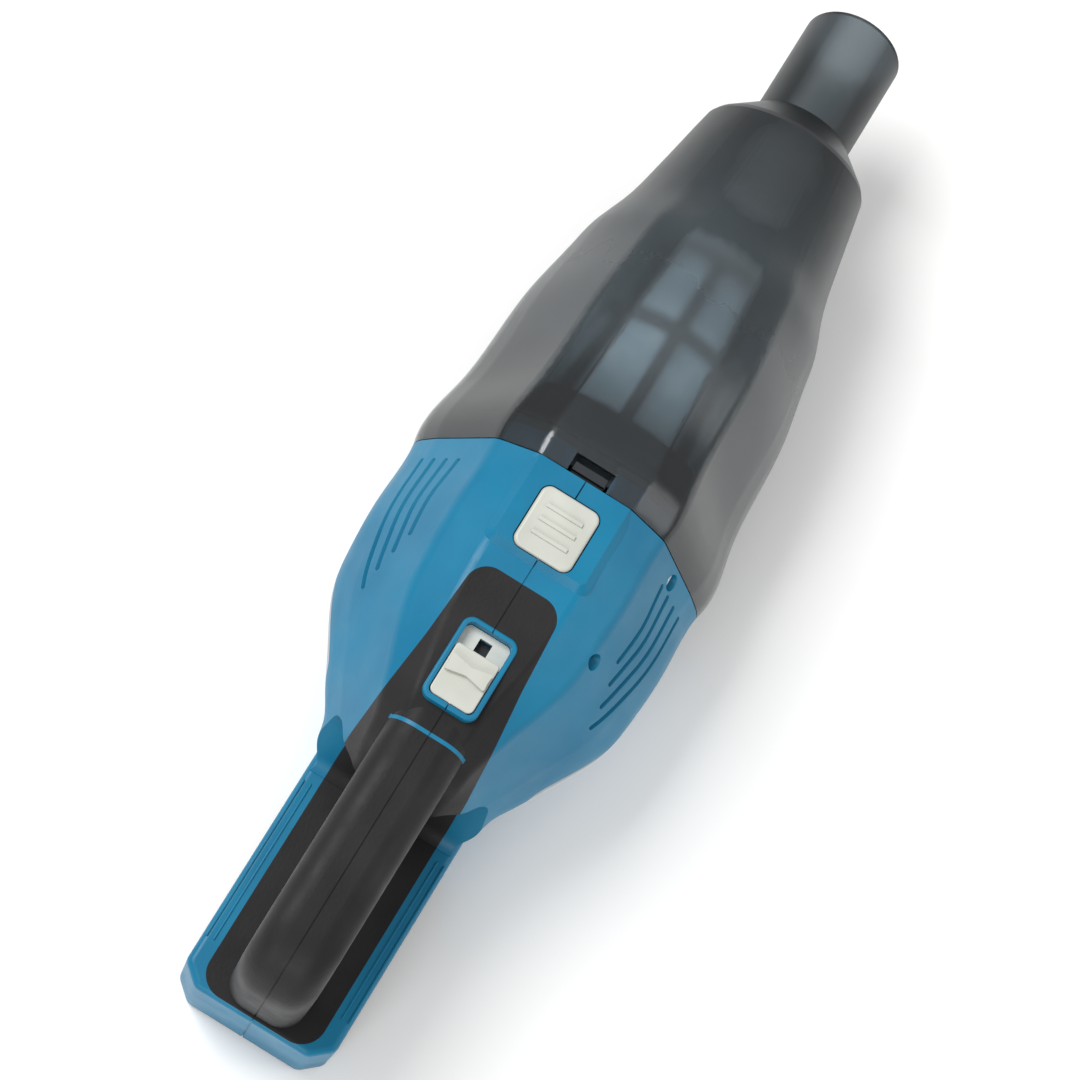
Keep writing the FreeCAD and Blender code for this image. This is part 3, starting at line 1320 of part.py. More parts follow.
def make_pack_latches():
    mid = -size("pack_front") - size("pack_length") / 2
    half = size("base_half")
    for name, side in (("left", 1), ("right", -1)):
        low, high = sorted((side * (half - 0.1), side * (half - size("latch_depth"))))
        pad = slab(mid - size("latch_length") / 2, mid + size("latch_length") / 2, low, high,
                   latch_z() - size("latch_height") / 2, latch_z() + size("latch_height") / 2)
        ridges = []
        for number in (-2, -1, 0, 1, 2):
            x = mid + number * 3
            groove_low, groove_high = sorted((side * (half + 1), side * (half - 0.7)))
            ridges.append(slab(x - 0.5, x + 0.5, groove_low, groove_high, latch_z() - 2.6, latch_z() + 2.6))
        shaped("pack_latch_" + name, pad.cut(ridges))
        inner = half - size("latch_depth") - size("latch_travel") - 1.2
        start, end = sorted((side * inner, side * (half - size("latch_depth"))))
        coil = bar_round("y", start, end - start, size("latch_spring"), (mid, latch_z()))
        core = bar_round("y", start - 1, end - start + 2, size("latch_spring") - 0.5, (mid, latch_z()))
        shaped("latch_spring_" + name, coil.cut(core))


def make_pack_electrics():
    half = "cells_wide/2"
    front = "-pack_front - case_wall"
    rear = "-pack_rear + case_wall"
    strap_front = block((front + " - 0.2", front), ("-%s + 3" % half, "cell_diameter/2"), ("cell_z - 4", "cell_z + 4"))
    strap_rear = block((rear, rear + " + 0.2"), ("-cell_diameter/2", half + " - 3"), ("cell_z - 4", "cell_z + 4"))
    piece("cell_straps", strap_front, strap_rear)
    mid = "-pack_front - pack_length/2"
    board_low = "-lid_split + 0.4"
    board = block((mid + " - 26", mid + " + 26"), ("-base_half + flange_wide + 2", "base_half - flange_wide - 2"),
                  (board_low, board_low + " + board_thick"))
    piece("battery_board", board)
    clips = []
    for number in (-1, 0, 1):
        for side in (-1, 1):
            y = "(%d)*blade_pitch + (%d)*(blade_sheet/2 + 0.35)" % (number, side)
            clips.append(block((mid + " - 2", mid + " + 2"), (y + " - 0.2", y + " + 0.2"),
                               (board_low + " + board_thick", "-lid_top - lid_wall - 0.1")))
    piece("pack_contacts", *clips)


def make_terminals():
    mid = "-pack_front - pack_length/2"
    base = block((mid + " - blade_wide", mid + " + blade_wide"), ("-blade_pitch*1.6", "blade_pitch*1.6"),
                 ("-lid_top + fit_gap", "-lid_top + fit_gap + wall + 1.6"))
    piece("terminal_block", base)
    blades = []
    for number in (-1, 0, 1):
        y = "(%d)*blade_pitch" % number
        blades.append(block((mid + " - blade_wide/2", mid + " + blade_wide/2"),
                            (y + " - blade_sheet/2", y + " + blade_sheet/2"),
                            ("-lid_top - 3.4", "-lid_top + fit_gap")))
    piece("terminal_blades", *blades)


# ---------------------------------------------------------------- wires

def wire_tube(label, points, bend):
    """A round wire along straight runs joined by tangent arcs."""
    radius = size("wire_radius")
    edges = []
    start = points[0]
    for before, corner, after in zip(points, points[1:], points[2:]):
        back = (before - corner).normalize()
        ahead = (after - corner).normalize()
        half = back.getAngle(ahead) / 2
        reach = bend / math.tan(half)
        near = corner + back * reach
        far = corner + ahead * reach
        middle = corner + (back + ahead).normalize() * (bend / math.sin(half) - bend)
        edges.append(Part.LineSegment(start, near).toShape())
        edges.append(Part.Arc(near, middle, far).toShape())
        start = far
    edges.append(Part.LineSegment(start, points[-1]).toShape())
    direction = (points[1] - points[0]).normalize()
    circle = Part.Wire(Part.makeCircle(radius, points[0], direction))
    shaped(label, Part.Wire(edges).makePipeShell([circle], True, False))


def make_wires():
    mid = -size("pack_front") - size("pack_length") / 2
    top = -size("lid_top") + size("fit_gap") + size("wall") + 1.6 + size("seat_gap")
    run = top + size("wire_radius") + 2.5
    back = -size("motor_rear") - size("end_cap")
    block_rear = -size("bezel_rear") + 4
    cradle = size("cradle_low")
    waist = -size("bar_front")
    wire_tube("supply_wire", [
        Vector(mid, 4, top), Vector(mid, 4, run), Vector(waist - 1, 4, run), Vector(block_rear - 2, 4, 8),
        Vector(block_rear - 4, 4, cradle - 8), Vector(block_rear - 0.1, 4, cradle - 8)], 1.6)
    wire_tube("return_wire", [
        Vector(mid, -6, top), Vector(mid, -6, run), Vector(waist - 1, -6, run), Vector(back - 7, -9, -4),
        Vector(back - 0.1, -9, -4)], 1.8)
    wire_tube("motor_wire", [
        Vector(block_rear + 4, -2, cradle - 13.1), Vector(block_rear + 4, -2, cradle - 18),
        Vector(back - 5, 9, 5), Vector(back - 0.1, 9, 5)], 1.6)


def main():
    make_dust_cup()
    make_inlet()
    make_filter_seat()
    make_cup_seal()
    make_filter()
    make_housing()
    make_screws()
    make_feet()
    make_release()
    make_switch()
    make_fan()
    make_motor()
    make_cells()
    make_case()
    make_lid()
    make_pack_latches()
    make_pack_electrics()
    make_terminals()
    make_wires()
    doc.recompute()
    faults = []
    for item in doc.Objects:
        if "Invalid" in item.State or "Error" in item.State:
            faults.append("%s is %s" % (item.Label, item.State))
    for item in PIECES:
        if item.Shape.isNull() or not item.Shape.isValid() or not item.Shape.Solids:
            faults.append("%s has no valid solid" % item.Label)
    if faults:
        raise RuntimeError("; ".join(faults))
    os.makedirs("parts", exist_ok=True)
    for item in PIECES:
        item.Shape.exportStep("parts/%s.step" % item.Label)


main()
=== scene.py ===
import math

import bpy
from mathutils import Matrix, Vector


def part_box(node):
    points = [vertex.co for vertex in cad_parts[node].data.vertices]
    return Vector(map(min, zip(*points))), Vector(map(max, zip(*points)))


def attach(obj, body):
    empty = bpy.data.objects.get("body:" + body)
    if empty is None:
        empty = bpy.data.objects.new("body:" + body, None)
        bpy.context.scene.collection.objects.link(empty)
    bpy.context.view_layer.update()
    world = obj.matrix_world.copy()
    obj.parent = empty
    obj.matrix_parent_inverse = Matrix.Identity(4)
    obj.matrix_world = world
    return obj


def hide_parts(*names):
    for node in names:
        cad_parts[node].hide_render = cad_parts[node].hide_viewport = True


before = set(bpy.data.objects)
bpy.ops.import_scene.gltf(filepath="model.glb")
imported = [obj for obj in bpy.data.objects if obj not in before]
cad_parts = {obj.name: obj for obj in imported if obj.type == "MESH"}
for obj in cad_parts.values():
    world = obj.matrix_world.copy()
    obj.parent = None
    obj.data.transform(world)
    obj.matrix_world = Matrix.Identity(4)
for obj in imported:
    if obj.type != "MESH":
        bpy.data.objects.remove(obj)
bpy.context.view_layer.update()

# Hand-held shop vacuum with a smoked dust cup. Metres, +X towards the nozzle, +Y left, +Z up; it
# stands on z = 0. The frame's own pieces keep their shape and get their finishes here, and the
# filter sleeve, the screws and the fine detail of the shell are modelled in this script.

mm = 0.001


def make_camera(aim, distance, tilt, turn, lens):
    """A camera above the tool; tilt leans it back from straight above, turn rolls the picture."""
    nose = Vector((math.cos(tilt), 0, math.sin(tilt)))
    side = Vector((0, -1, 0))
    back = Vector((-math.sin(tilt), 0, math.cos(tilt)))
    right = nose * math.sin(turn) + side * math.cos(turn)
    up = nose * math.cos(turn) - side * math.sin(turn)
    data = bpy.data.cameras.new("studio_camera")
    data.lens = lens
    data.sensor_width = 36
    camera = bpy.data.objects.new("studio_camera", data)
    bpy.context.scene.collection.objects.link(camera)
    turned = Matrix((right, up, back)).transposed().to_4x4()
    camera.matrix_world = Matrix.Translation(aim + back * distance) @ turned
    bpy.context.scene.camera = camera


CAMERA_AIM = Vector((-0.01845, 0.0028, 0.060))
CAMERA_DISTANCE = 1.155
CAMERA_TILT = math.radians(18)
CAMERA_TURN = math.radians(31.77)
CAMERA_LENS = 110
make_camera(CAMERA_AIM, CAMERA_DISTANCE, CAMERA_TILT, CAMERA_TURN, CAMERA_LENS)


# ---------------------------------------------------------------- finishes

def colour(code):
    """A linear colour from an sRGB hex code."""
    channels = []
    for start in (0, 2, 4):
        value = int(code[start:start + 2], 16) / 255
        linear = value / 12.92 if value <= 0.04045 else ((value + 0.055) / 1.055) ** 2.4
        channels.append(linear)
    return (*channels, 1.0)


def add(tree, kind, inputs, **settings):
    """Adds a node: inputs holds a value or a feeding socket for each of its own sockets."""
    made = tree.nodes.new(kind)
    for name, value in settings.items():
        setattr(made, name, value)
    for socket, value in inputs.items():
        if isinstance(value, bpy.types.NodeSocket):
            tree.links.new(value, made.inputs[socket])
        else:
            made.inputs[socket].default_value = value
    return made


def start_finish(name, sockets):
    """A material with a Principled shader; sockets holds the values that are even all over."""
    material = bpy.data.materials.new(name)
    material.use_nodes = True
    tree = material.node_tree
    shader = tree.nodes["Principled BSDF"]
    for socket, value in sockets.items():
        shader.inputs[socket].default_value = value
    place = add(tree, "ShaderNodeTexCoord", {}).outputs["Object"]
    return material, tree, shader, place


def per_metre(spacing):
    """A texture's scale for a grain of that many millimetres."""
    return 1 / (spacing * mm)


def set_ramp(ramp, stops):
    """Gives a colour ramp these stops, each a position and an sRGB hex code."""
    elements = ramp.color_ramp.elements
    while len(elements) < len(stops):
        elements.new(1.0)
    for element, (position, code) in zip(elements, stops):
        element.position = position
        element.color = colour(code)


def mottle(tree, shader, place, low, high, spacing, detail=3.0):
    """Colour that drifts between two tones over patches of the given size."""
    cloud = add(tree, "ShaderNodeTexNoise", {"Vector": place, "Scale": per_metre(spacing), "Detail": detail})
    ramp = add(tree, "ShaderNodeValToRGB", {"Fac": cloud.outputs["Fac"]})
    set_ramp(ramp, [(0.35, low), (0.65, high)])
    tree.links.new(ramp.outputs["Color"], shader.inputs["Base Color"])


def vary_gloss(tree, shader, place, low, high, spacing):
    """Roughness that drifts between two values, as handling leaves it."""
    cloud = add(tree, "ShaderNodeTexNoise", {"Vector": place, "Scale": per_metre(spacing), "Detail": 4.0})
    spread = add(tree, "ShaderNodeMapRange", {"Value": cloud.outputs["Fac"], "From Min": 0.3, "From Max": 0.7,
                                              "To Min": low, "To Max": high})
    tree.links.new(spread.outputs["Result"], shader.inputs["Roughness"])


def raise_grain(tree, shader, height, depth, strength):
    """Bump from a height pattern; depth is the real depth in millimetres."""
    bump = add(tree, "ShaderNodeBump", {"Height": height, "Distance": depth * mm, "Strength": strength})
    tree.links.new(bump.outputs["Normal"], shader.inputs["Normal"])


def shell_abs(name, low, high, rough=0.42):
    """Moulded ABS from a spark-eroded mould: an even satin with a grain finer than half a
    millimetre, drawn at 0.7 mm so that it shows, and a polish that handling makes uneven."""
    material, tree, shader, place = start_finish(name, {"IOR": 1.53, "Specular IOR Level": 0.28})
    mottle(tree, shader, place, low, high, 38)
    vary_gloss(tree, shader, place, rough - 0.06, rough + 0.07, 16)
    grain = add(tree, "ShaderNodeTexNoise", {"Vector": place, "Scale": per_metre(0.7), "Detail": 2.0})
    raise_grain(tree, shader, grain.outputs["Fac"], 0.05, 0.35)
    return material


def smooth_abs(name, low, high, rough=0.3):
    """Moulded ABS from a polished mould: smoother than the shell, with a faint orange peel."""
    material, tree, shader, place = start_finish(name, {"IOR": 1.53})
    mottle(tree, shader, place, low, high, 25)
    vary_gloss(tree, shader, place, rough - 0.05, rough + 0.08, 9)
    peel = add(tree, "ShaderNodeTexNoise", {"Vector": place, "Scale": per_metre(2.2), "Detail": 1.0})
    raise_grain(tree, shader, peel.outputs["Fac"], 0.03, 0.2)
    return material


def soft_tpe(name, low, high):
    """Thermoplastic rubber overmould with a leather-like pebble: matt, with a soft sheen."""
    material, tree, shader, place = start_finish(
        name, {"IOR": 1.5, "Specular IOR Level": 0.25, "Sheen Weight": 0.03, "Sheen Roughness": 0.5})
    mottle(tree, shader, place, low, high, 30)
    vary_gloss(tree, shader, place, 0.46, 0.62, 12)
    pebble = add(tree, "ShaderNodeTexVoronoi", {"Vector": place, "Scale": per_metre(1.1)},
                 feature="SMOOTH_F1")
    raise_grain(tree, shader, pebble.outputs["Distance"], 0.12, 0.35)
    return material


def black_rubber(name):
    """Vulcanised rubber: dark and matt with a dusty bloom in patches."""
    material, tree, shader, place = start_finish(name, {"IOR": 1.52})
    mottle(tree, shader, place, "191A1B", "2B2C2E", 7, 6.0)
    vary_gloss(tree, shader, place, 0.62, 0.8, 5)
    grain = add(tree, "ShaderNodeTexNoise", {"Vector": place, "Scale": per_metre(0.9), "Detail": 3.0})
    raise_grain(tree, shader, grain.outputs["Fac"], 0.06, 0.4)
    return material


def smoked_san(name):
    """Smoked SAN, injection moulded: it darkens where the wall is seen edge on, a little towards the
    rear rim, and with painted shade towards the front and the nozzle, where the dark inside lies in
    shade; it gets a fine frosting towards the nozzle, with long flow lines from the gate."""
    material, tree, shader, place = start_finish(name, {"IOR": 1.5})
    along = add(tree, "ShaderNodeSeparateXYZ", {"Vector": place}).outputs["X"]
    cloud = add(tree, "ShaderNodeTexNoise", {"Vector": place, "Scale": per_metre(14), "Detail": 5.0})
    frost = add(tree, "ShaderNodeMapRange", {"Value": along, "From Min": 0.02, "From Max": 0.14,
                                             "To Min": 0.14, "To Max": 0.36})
    patchy = add(tree, "ShaderNodeMath", {0: cloud.outputs["Fac"], 1: 0.07, 2: frost.outputs["Result"]},
                 operation="MULTIPLY_ADD")
    tree.links.new(patchy.outputs["Value"], shader.inputs["Roughness"])
    clear = add(tree, "ShaderNodeMapRange", {"Value": along, "From Min": 0.03, "From Max": 0.15,
                                             "To Min": 0.95, "To Max": 0.86})
    tree.links.new(clear.outputs["Result"], shader.inputs["Transmission Weight"])
    edge_on = add(tree, "ShaderNodeLayerWeight", {"Blend": 0.35}).outputs["Facing"]
    tint = add(tree, "ShaderNodeValToRGB", {"Fac": edge_on})
    set_ramp(tint, [(0.05, "C6D3DA"), (0.2, "59646A"), (0.7, "353F44")])
    # darker towards the rear rim; towards the front and the nozzle a painted shade stands for the shade
    # inside them
    length = add(tree, "ShaderNodeMapRange", {"Value": along, "From Min": 0.0, "From Max": 0.2})
    depth = add(tree, "ShaderNodeValToRGB", {"Fac": length.outputs["Result"]})
    set_ramp(depth, [(0.08, "C8C8C8"), (0.2, "FFFFFF"), (0.48, "FFFFFF"), (0.78, "A4A8AA"), (0.95, "A0A4A6")])
    wall = add(tree, "ShaderNodeVectorMath", {0: tint.outputs["Color"], 1: depth.outputs["Color"]},
               operation="MULTIPLY")
    tree.links.new(wall.outputs["Vector"], shader.inputs["Base Color"])
    drawn = add(tree, "ShaderNodeMapping", {"Vector": place, "Scale": (0.12, 1.0, 1.0)})
    flow = add(tree, "ShaderNodeTexNoise",
               {"Vector": drawn.outputs["Vector"], "Scale": per_metre(5), "Detail": 2.0})
    raise_grain(tree, shader, flow.outputs["Fac"], 0.05, 0.25)
    return material


def filter_felt(name):
    """Polyester filter cloth: a plain weave with a hairy face. The threads are 0.4 mm apart,
    drawn at 1.1 mm so that they show, and dust has greyed it in patches."""
    material, tree, shader, place = start_finish(
        name, {"Roughness": 0.95, "IOR": 1.45, "Sheen Weight": 0.4, "Sheen Roughness": 0.6})
    mottle(tree, shader, place, "C4D2D8", "E6EEF1", 12, 6.0)
    thread = per_metre(1.1) / 2
    wave = {"Vector": place, "Scale": thread, "Distortion": 0.4}
    warp = add(tree, "ShaderNodeTexWave", wave, bands_direction="X")
    weft = add(tree, "ShaderNodeTexWave", wave, bands_direction="Z")
    weave = add(tree, "ShaderNodeMath", {0: warp.outputs["Fac"], 1: weft.outputs["Fac"]},
                operation="MULTIPLY")
    raise_grain(tree, shader, weave.outputs["Value"], 0.2, 0.6)
    return material


def sheet_metal(name, low, high, rough, spacing=1.5, stretch=(1.0, 1.0, 1.0)):
    """Bright metal with fine marks: stretch draws the marks out along an axis."""
    material, tree, shader, place = start_finish(name, {"Metallic": 1.0})
    mottle(tree, shader, place, low, high, 9, 5.0)
    drawn = add(tree, "ShaderNodeMapping", {"Vector": place, "Scale": stretch})
    marks = add(tree, "ShaderNodeTexNoise",
                {"Vector": drawn.outputs["Vector"], "Scale": per_metre(spacing), "Detail": 4.0})
    spread = add(tree, "ShaderNodeMapRange", {"Value": marks.outputs["Fac"], "From Min": 0.3, "From Max": 0.7,
                                              "To Min": rough - 0.08, "To Max": rough + 0.12})
    tree.links.new(spread.outputs["Result"], shader.inputs["Roughness"])
    raise_grain(tree, shader, marks.outputs["Fac"], 0.02, 0.3)
    return material


def glass_epoxy(name):
    """Circuit board laminate under solder mask: green, with the glass weave just showing."""
    material, tree, shader, place = start_finish(
        name, {"Roughness": 0.35, "IOR": 1.5, "Coat Weight": 0.4, "Coat Roughness": 0.2})
    mottle(tree, shader, place, "12452F", "1B5A3C", 6)
    weave = add(tree, "ShaderNodeTexChecker", {"Vector": place, "Scale": per_metre(0.8)})
    raise_grain(tree, shader, weave.outputs["Fac"], 0.02, 0.2)
    return material


def shrink_sleeve(name, low, high):
    """PVC heat-shrink sleeve: thin and glossy, slightly puckered."""
    material, tree, shader, place = start_finish(name, {"IOR": 1.53})
    mottle(tree, shader, place, low, high, 15)
    vary_gloss(tree, shader, place, 0.18, 0.32, 6)
    pucker = add(tree, "ShaderNodeTexNoise", {"Vector": place, "Scale": per_metre(3.5), "Detail": 2.0})
    raise_grain(tree, shader, pucker.outputs["Fac"], 0.1, 0.3)
    return material


BLUE_ABS = shell_abs("moulded_abs_teal", "00688C", "037296")
BLACK_TPE = soft_tpe("overmoulded_tpe_black", "161516", "211F20")
SMOKE = smoked_san("smoked_san")
IVORY_ABS = smooth_abs("moulded_abs_ivory", "B6B8AF", "C2C4BB")
# the switch plate: the slider's ivory painted lighter, a painted light against the shade in its recess
IVORY_PAINTED_LIGHT = smooth_abs("moulded_abs_ivory_painted_light", "C8CCC6", "D2D6D0", 0.26)
GREY_ABS = smooth_abs("moulded_abs_silver_grey", "8D9092", "A3A6A8", 0.36)
BLACK_ABS = smooth_abs("moulded_abs_black", "17181A", "212225", 0.38)
DARK_NYLON = shell_abs("moulded_nylon_black", "1F2326", "2E3338", 0.5)
CAGE_ABS = smooth_abs("moulded_abs_charcoal", "2A2F33", "363C41", 0.4)
GREY_NYLON = shell_abs("moulded_nylon_grey", "5D6266", "6C7175", 0.5)
RUBBER = black_rubber("vulcanised_rubber")
FELT = filter_felt("woven_polyester")
ZINC_STEEL = sheet_metal("zinc_plated_steel", "9DA3A8", "B9BEC2", 0.32)
SPRING_STEEL = sheet_metal("drawn_spring_steel", "7E8184", "A1A4A7", 0.28, 0.8)
GROUND_STEEL = sheet_metal("ground_shaft_steel", "B4B7BA", "CFD1D3", 0.18, 0.4, (8.0, 1.0, 1.0))
BRONZE = sheet_metal("sintered_bronze", "8A6437", "A87C46", 0.45, 0.6)
NICKEL = sheet_metal("nickel_strip", "B0ACA2", "CDC9C0", 0.24)
BRASS = sheet_metal("tinned_brass", "BFA75A", "D8C27A", 0.26)
LAMINATED = sheet_metal("stacked_steel_laminations", "54585B", "7C8084", 0.42, 0.5, (6.0, 0.2, 0.2))
FERRITE = shell_abs("sintered_ferrite", "2B2B2C", "3A3A3B", 0.62)
BOARD = glass_epoxy("solder_masked_board")
CELL_WRAP = shrink_sleeve("heat_shrink_green", "3E7F63", "4C9274")
RED_PVC = shrink_sleeve("pvc_insulation_red", "A01F1B", "B52A24")
BLACK_PVC = shrink_sleeve("pvc_insulation_black", "161617", "222224")
CERAMIC = shrink_sleeve("dipped_ceramic_ochre", "B9772C", "C98A3C")

FINISHES = {
    "dust_cup": SMOKE, "inlet_duct": DARK_NYLON, "flap_ears": DARK_NYLON, "flap_pin": GROUND_STEEL,
    "inlet_flap": RUBBER, "filter_seat": CAGE_ABS, "cup_seal": RUBBER, "filter_frame": CAGE_ABS,
    "filter_cloth": FELT, "filter_seal": RUBBER, "body_left": BLUE_ABS, "body_right": BLUE_ABS,
    "grip_left": BLACK_TPE, "grip_right": BLACK_TPE, "side_trim_left": GREY_ABS, "side_trim_right": GREY_ABS,
    "housing_screws": ZINC_STEEL, "rubber_feet": RUBBER, "release_button": IVORY_ABS,
    "latch_hook": DARK_NYLON, "release_spring": SPRING_STEEL, "switch_plate": IVORY_PAINTED_LIGHT,
    "switch_slider": IVORY_ABS, "switch_block": DARK_NYLON, "fan_shroud": DARK_NYLON, "impeller": GREY_NYLON,
    "motor_can": ZINC_STEEL, "motor_end_cap": DARK_NYLON, "motor_shaft": GROUND_STEEL,
    "front_bearing": BRONZE, "rear_bearing": BRONZE, "armature": LAMINATED, "motor_magnets": FERRITE,
    "front_motor_mount": RUBBER, "rear_motor_mount": RUBBER, "motor_capacitor": CERAMIC,
    "battery_cells": CELL_WRAP, "battery_case": BLACK_ABS, "battery_lid": BLUE_ABS,
    "pack_latch_left": GREY_ABS, "pack_latch_right": GREY_ABS, "latch_spring_left": SPRING_STEEL,
    "latch_spring_right": SPRING_STEEL, "cell_straps": NICKEL, "battery_board": BOARD,
    "pack_contacts": BRASS, "terminal_block": DARK_NYLON, "terminal_blades": BRASS,
    "supply_wire": RED_PVC, "return_wire": BLACK_PVC, "motor_wire": RED_PVC,
}

for name, material in FINISHES.items():
    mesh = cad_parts[name].data
    mesh.materials.clear()
    mesh.materials.append(material)


# the cup's long thin facets shade more evenly with their normals weighted by area
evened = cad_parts["dust_cup"].modifiers.new("evened_shading", "WEIGHTED_NORMAL")
evened.keep_sharp = True


# ---------------------------------------------------------------- modelling help

SMOOTH_ANGLE = math.radians(35)


def fresh():
    """Leaves nothing selected, so that the next operators touch only the new piece."""
    if bpy.context.object and bpy.context.object.mode != "OBJECT":
        bpy.ops.object.mode_set(mode="OBJECT")
    bpy.ops.object.select_all(action="DESELECT")


def select_faces(piece, wanted):
    """Selects the faces of a piece for which wanted(face) is true, in edit mode."""
    bpy.ops.object.mode_set(mode="OBJECT")
    for edge in piece.data.edges:
        edge.select = False
    for point in piece.data.vertices:
        point.select = False
    for face in piece.data.polygons:
        face.select = wanted(face)
    bpy.ops.object.mode_set(mode="EDIT")
    bpy.ops.mesh.select_mode(type="FACE")


def settle(piece, name, material, body):
    """Names a piece, puts its place into its mesh, smooths it, paints it and rides it on a body."""
    fresh()
    piece.select_set(True)
    bpy.context.view_layer.objects.active = piece
    bpy.ops.object.transform_apply(location=True, rotation=True, scale=True)
    bpy.ops.object.shade_smooth_by_angle(angle=SMOOTH_ANGLE)
    piece.name = name
    piece.data.name = name
    piece.data.materials.clear()
    piece.data.materials.append(material)
    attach(piece, body)


def apply_modifier(piece, kind, **settings):
    """Adds a modifier with these settings and applies it."""
    fresh()
    piece.select_set(True)
    bpy.context.view_layer.objects.active = piece
    modifier = piece.modifiers.new(kind.lower(), kind)
    for name, value in settings.items():
        setattr(modifier, name, value)
    bpy.ops.object.modifier_apply(modifier=modifier.name)


# ---------------------------------------------------------------- filter sleeve

CAGE_TAPER = 11 / 81        # how fast the cage narrows towards the nozzle
CAGE_RIBS = 8
FACETS_PER_RIB = 14
LENGTH_CUTS = 23
CLOTH_SAG = 1.5 * mm
CLOTH_THICKNESS = 0.8 * mm


def make_filter_sleeve():
    """The cloth cone inside the filter's cage, drawn a little inwards between the ribs."""
    low, high = (Vector(corner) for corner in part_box("filter_cloth"))
    middle = (low + high) / 2
    rear_radius = high.y
    length = high.x - low.x
    front_radius = rear_radius - length * CAGE_TAPER
    fresh()
    bpy.ops.mesh.primitive_cone_add(vertices=CAGE_RIBS * FACETS_PER_RIB, radius1=rear_radius,
                                    radius2=front_radius, depth=length, location=middle,
                                    rotation=(0, math.pi / 2, 0))
    sleeve = bpy.context.object
    bpy.ops.object.transform_apply(location=True, rotation=True)
    select_faces(sleeve, lambda face: face.normal.x < -0.9)
    bpy.ops.mesh.delete(type="ONLY_FACE")
    bpy.ops.mesh.select_all(action="DESELECT")
    bpy.ops.object.mode_set(mode="OBJECT")
    for edge in sleeve.data.edges:
        ends = [sleeve.data.vertices[number].co for number in edge.vertices]
        edge.select = abs(ends[0].x - ends[1].x) > length / 2
    bpy.ops.object.mode_set(mode="EDIT")
    bpy.ops.mesh.select_mode(type="EDGE")
    bpy.ops.mesh.subdivide(number_cuts=LENGTH_CUTS)
    select_faces(sleeve, lambda face: face.normal.x > 0.9)
    bpy.ops.mesh.inset(thickness=front_radius * 0.5)
    bpy.ops.mesh.inset(thickness=front_radius * 0.3)
    bpy.ops.object.mode_set(mode="OBJECT")
    for point in sleeve.data.vertices:
        along = (point.co.x - low.x) / length
        across = Vector((0, point.co.y - middle.y, point.co.z - middle.z))
        between = math.sin(math.atan2(across.y, across.z) * CAGE_RIBS / 2) ** 2
        window = abs(math.sin(along * 2 * math.pi))
        if across.length > front_radius * 0.9:
            point.co -= across.normalized() * CLOTH_SAG * between * window
    apply_modifier(sleeve, "SOLIDIFY", thickness=CLOTH_THICKNESS, offset=-1)
    settle(sleeve, "filter_sleeve", FELT, "filter")
    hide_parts("filter_cloth")


make_filter_sleeve()


# ---------------------------------------------------------------- screws

SCREW_HEAD = 2.8 * mm       # radius of the head
SCREW_HEIGHT = 2 * mm       # height of the head
SCREW_SHANK = 1.5 * mm      # radius of the shank
SHANK_LENGTH = 4 * mm
HEAD_ROUNDING = 0.8 * mm
RECESS_RADIUS = 0.55 * mm   # half the width of each arm of the cross recess, corner to corner
RECESS_DEPTH = 3 * mm
# the seat under each head, in millimetres
SCREW_PLACES = [(-58.55, -26, 102), (-23.55, -30, 11), (-69.55, -28, 11),
                (-116.55, -22, 20), (-161.55, -9, 93), (-16.15, -40, 89)]


def make_screw():
    """A pan-head screw with a cross recess, its head towards -Y and its seat at the origin."""
    fresh()
    bpy.ops.mesh.primitive_cylinder_add(vertices=32, radius=SCREW_HEAD, depth=SCREW_HEIGHT,
                                        location=(0, -SCREW_HEIGHT / 2, 0), rotation=(math.pi / 2, 0, 0))
    screw = bpy.context.object
    bpy.ops.object.transform_apply(location=True, rotation=True)
    select_faces(screw, lambda face: face.normal.y < -0.9)
    bpy.ops.mesh.bevel(offset=HEAD_ROUNDING, segments=5, affect="EDGES")
    select_faces(screw, lambda face: face.normal.y > 0.9)
    bpy.ops.mesh.inset(thickness=SCREW_HEAD - SCREW_SHANK)
    bpy.ops.mesh.extrude_region_move(TRANSFORM_OT_translate={"value": (0, SHANK_LENGTH, 0)})
    bpy.ops.object.mode_set(mode="OBJECT")
    for turn in (0, math.pi / 2):
        fresh()
        bpy.ops.mesh.primitive_cylinder_add(vertices=4, radius=RECESS_RADIUS, depth=RECESS_DEPTH,
                                            location=(0, -SCREW_HEIGHT, 0), rotation=(0, turn, 0))
        slot = bpy.context.object
        apply_modifier(screw, "BOOLEAN", object=slot, operation="DIFFERENCE", solver="EXACT")
        bpy.data.objects.remove(slot)
    return screw


def make_screws():
    """The six housing screws, each a copy of one pattern in its own seat."""
    pattern = make_screw()
    for number, place in enumerate(SCREW_PLACES, start=1):
        screw = pattern.copy()
        screw.data = pattern.data.copy()
        bpy.context.scene.collection.objects.link(screw)
        screw.location = Vector(place) * mm
        settle(screw, "housing_screw_%d" % number, ZINC_STEEL, "housing")
        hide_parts("housing_screws")
    bpy.data.objects.remove(pattern)


make_screws()


# ---------------------------------------------------------------- rails on the battery base

DECK_HEIGHT = 42.5 * mm
RAIL_WIDTH = 0.9 * mm
RAIL_HEIGHT = 0.5 * mm
RAIL_ROUNDING = 0.35 * mm
RAIL_INWARD = (1.4 * mm, 4.2 * mm)      # from the base's edge to the middle of each bead
RAIL_MARGIN = 3 * mm                    # from each end of the base to the beads' ends


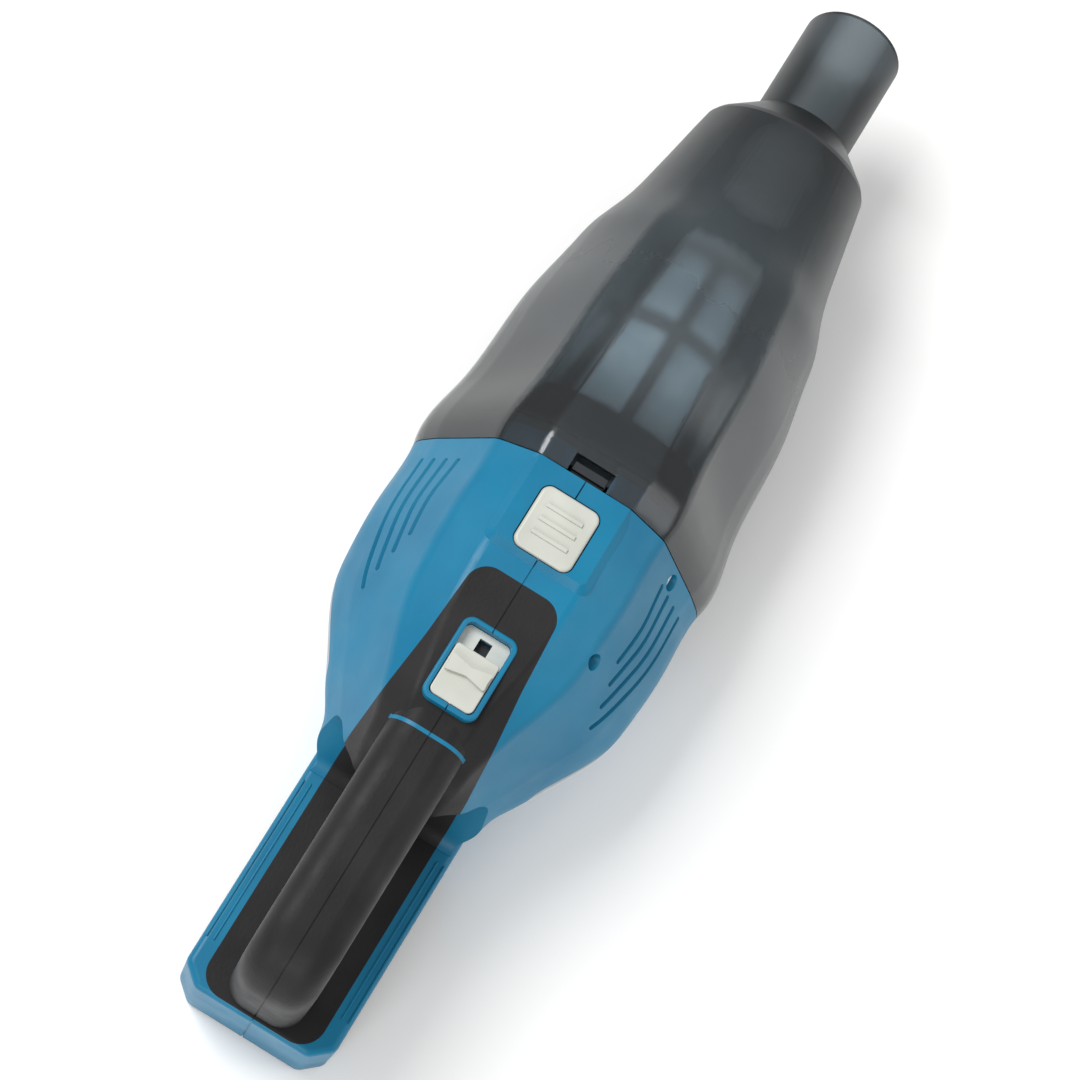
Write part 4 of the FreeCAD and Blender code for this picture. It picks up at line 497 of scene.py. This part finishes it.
def make_rails():
    """Two rounded beads along each side of the base's deck, over the pack's flanges."""
    low, high = (Vector(corner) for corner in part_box("battery_case"))
    for side, name in ((1, "left"), (-1, "right")):
        for number, inward in enumerate(RAIL_INWARD, start=1):
            fresh()
            reach = (high.x - low.x) - 2 * RAIL_MARGIN
            place = ((low.x + high.x) / 2, side * (high.y - inward), DECK_HEIGHT)
            bpy.ops.mesh.primitive_cube_add(size=1, location=place,
                                            scale=(reach, RAIL_WIDTH, RAIL_HEIGHT * 2))
            rail = bpy.context.object
            bpy.ops.object.transform_apply(location=True, scale=True)
            bpy.ops.object.mode_set(mode="EDIT")
            bpy.ops.mesh.select_all(action="SELECT")
            bpy.ops.mesh.bevel(offset=RAIL_ROUNDING, segments=4, affect="EDGES")
            bpy.ops.object.mode_set(mode="OBJECT")
            settle(rail, "base_rail_%s_%d" % (name, number), BLUE_ABS, "housing")


make_rails()


# ---------------------------------------------------------------- studio

FLOOR_SIZE = 8
FLOOR_DROP = 0.2 * mm
WORLD_STRENGTH = 0.55


def make_floor():
    """A pale matt floor under the tool."""
    material, tree, shader, place = start_finish("studio_paper", {"Roughness": 0.9})
    mottle(tree, shader, place, "FAFAF9", "FDFDFC", 300)
    bpy.ops.mesh.primitive_plane_add(size=FLOOR_SIZE, location=(0, 0, -FLOOR_DROP))
    floor = bpy.context.object
    floor.name = "studio_floor"
    floor.data.materials.append(material)


def make_light(name, location, size, power):
    """A soft square light that faces the tool."""
    data = bpy.data.lights.new(name, "AREA")
    data.size = size
    data.energy = power
    lamp = bpy.data.objects.new(name, data)
    bpy.context.scene.collection.objects.link(lamp)
    lamp.location = location
    lamp.rotation_euler = Vector(location).to_track_quat("Z", "Y").to_euler()


def make_world(strength):
    """Even white light from all round."""
    world = bpy.data.worlds.new("soft_studio")
    world.use_nodes = True
    sky = world.node_tree.nodes["Background"]
    sky.inputs["Color"].default_value = (1, 1, 1, 1)
    sky.inputs["Strength"].default_value = strength
    bpy.context.scene.world = world


make_floor()
make_light("key_light", (0.1, 0.8, 1.35), 0.7, 17)
make_light("fill_light", (0.3, -1.3, 0.9), 0.9, 4.5)
make_light("rear_light", (-1.3, 0.1, 0.8), 0.6, 6)
make_world(WORLD_STRENGTH)
bpy.context.scene.view_settings.view_transform = "Standard"
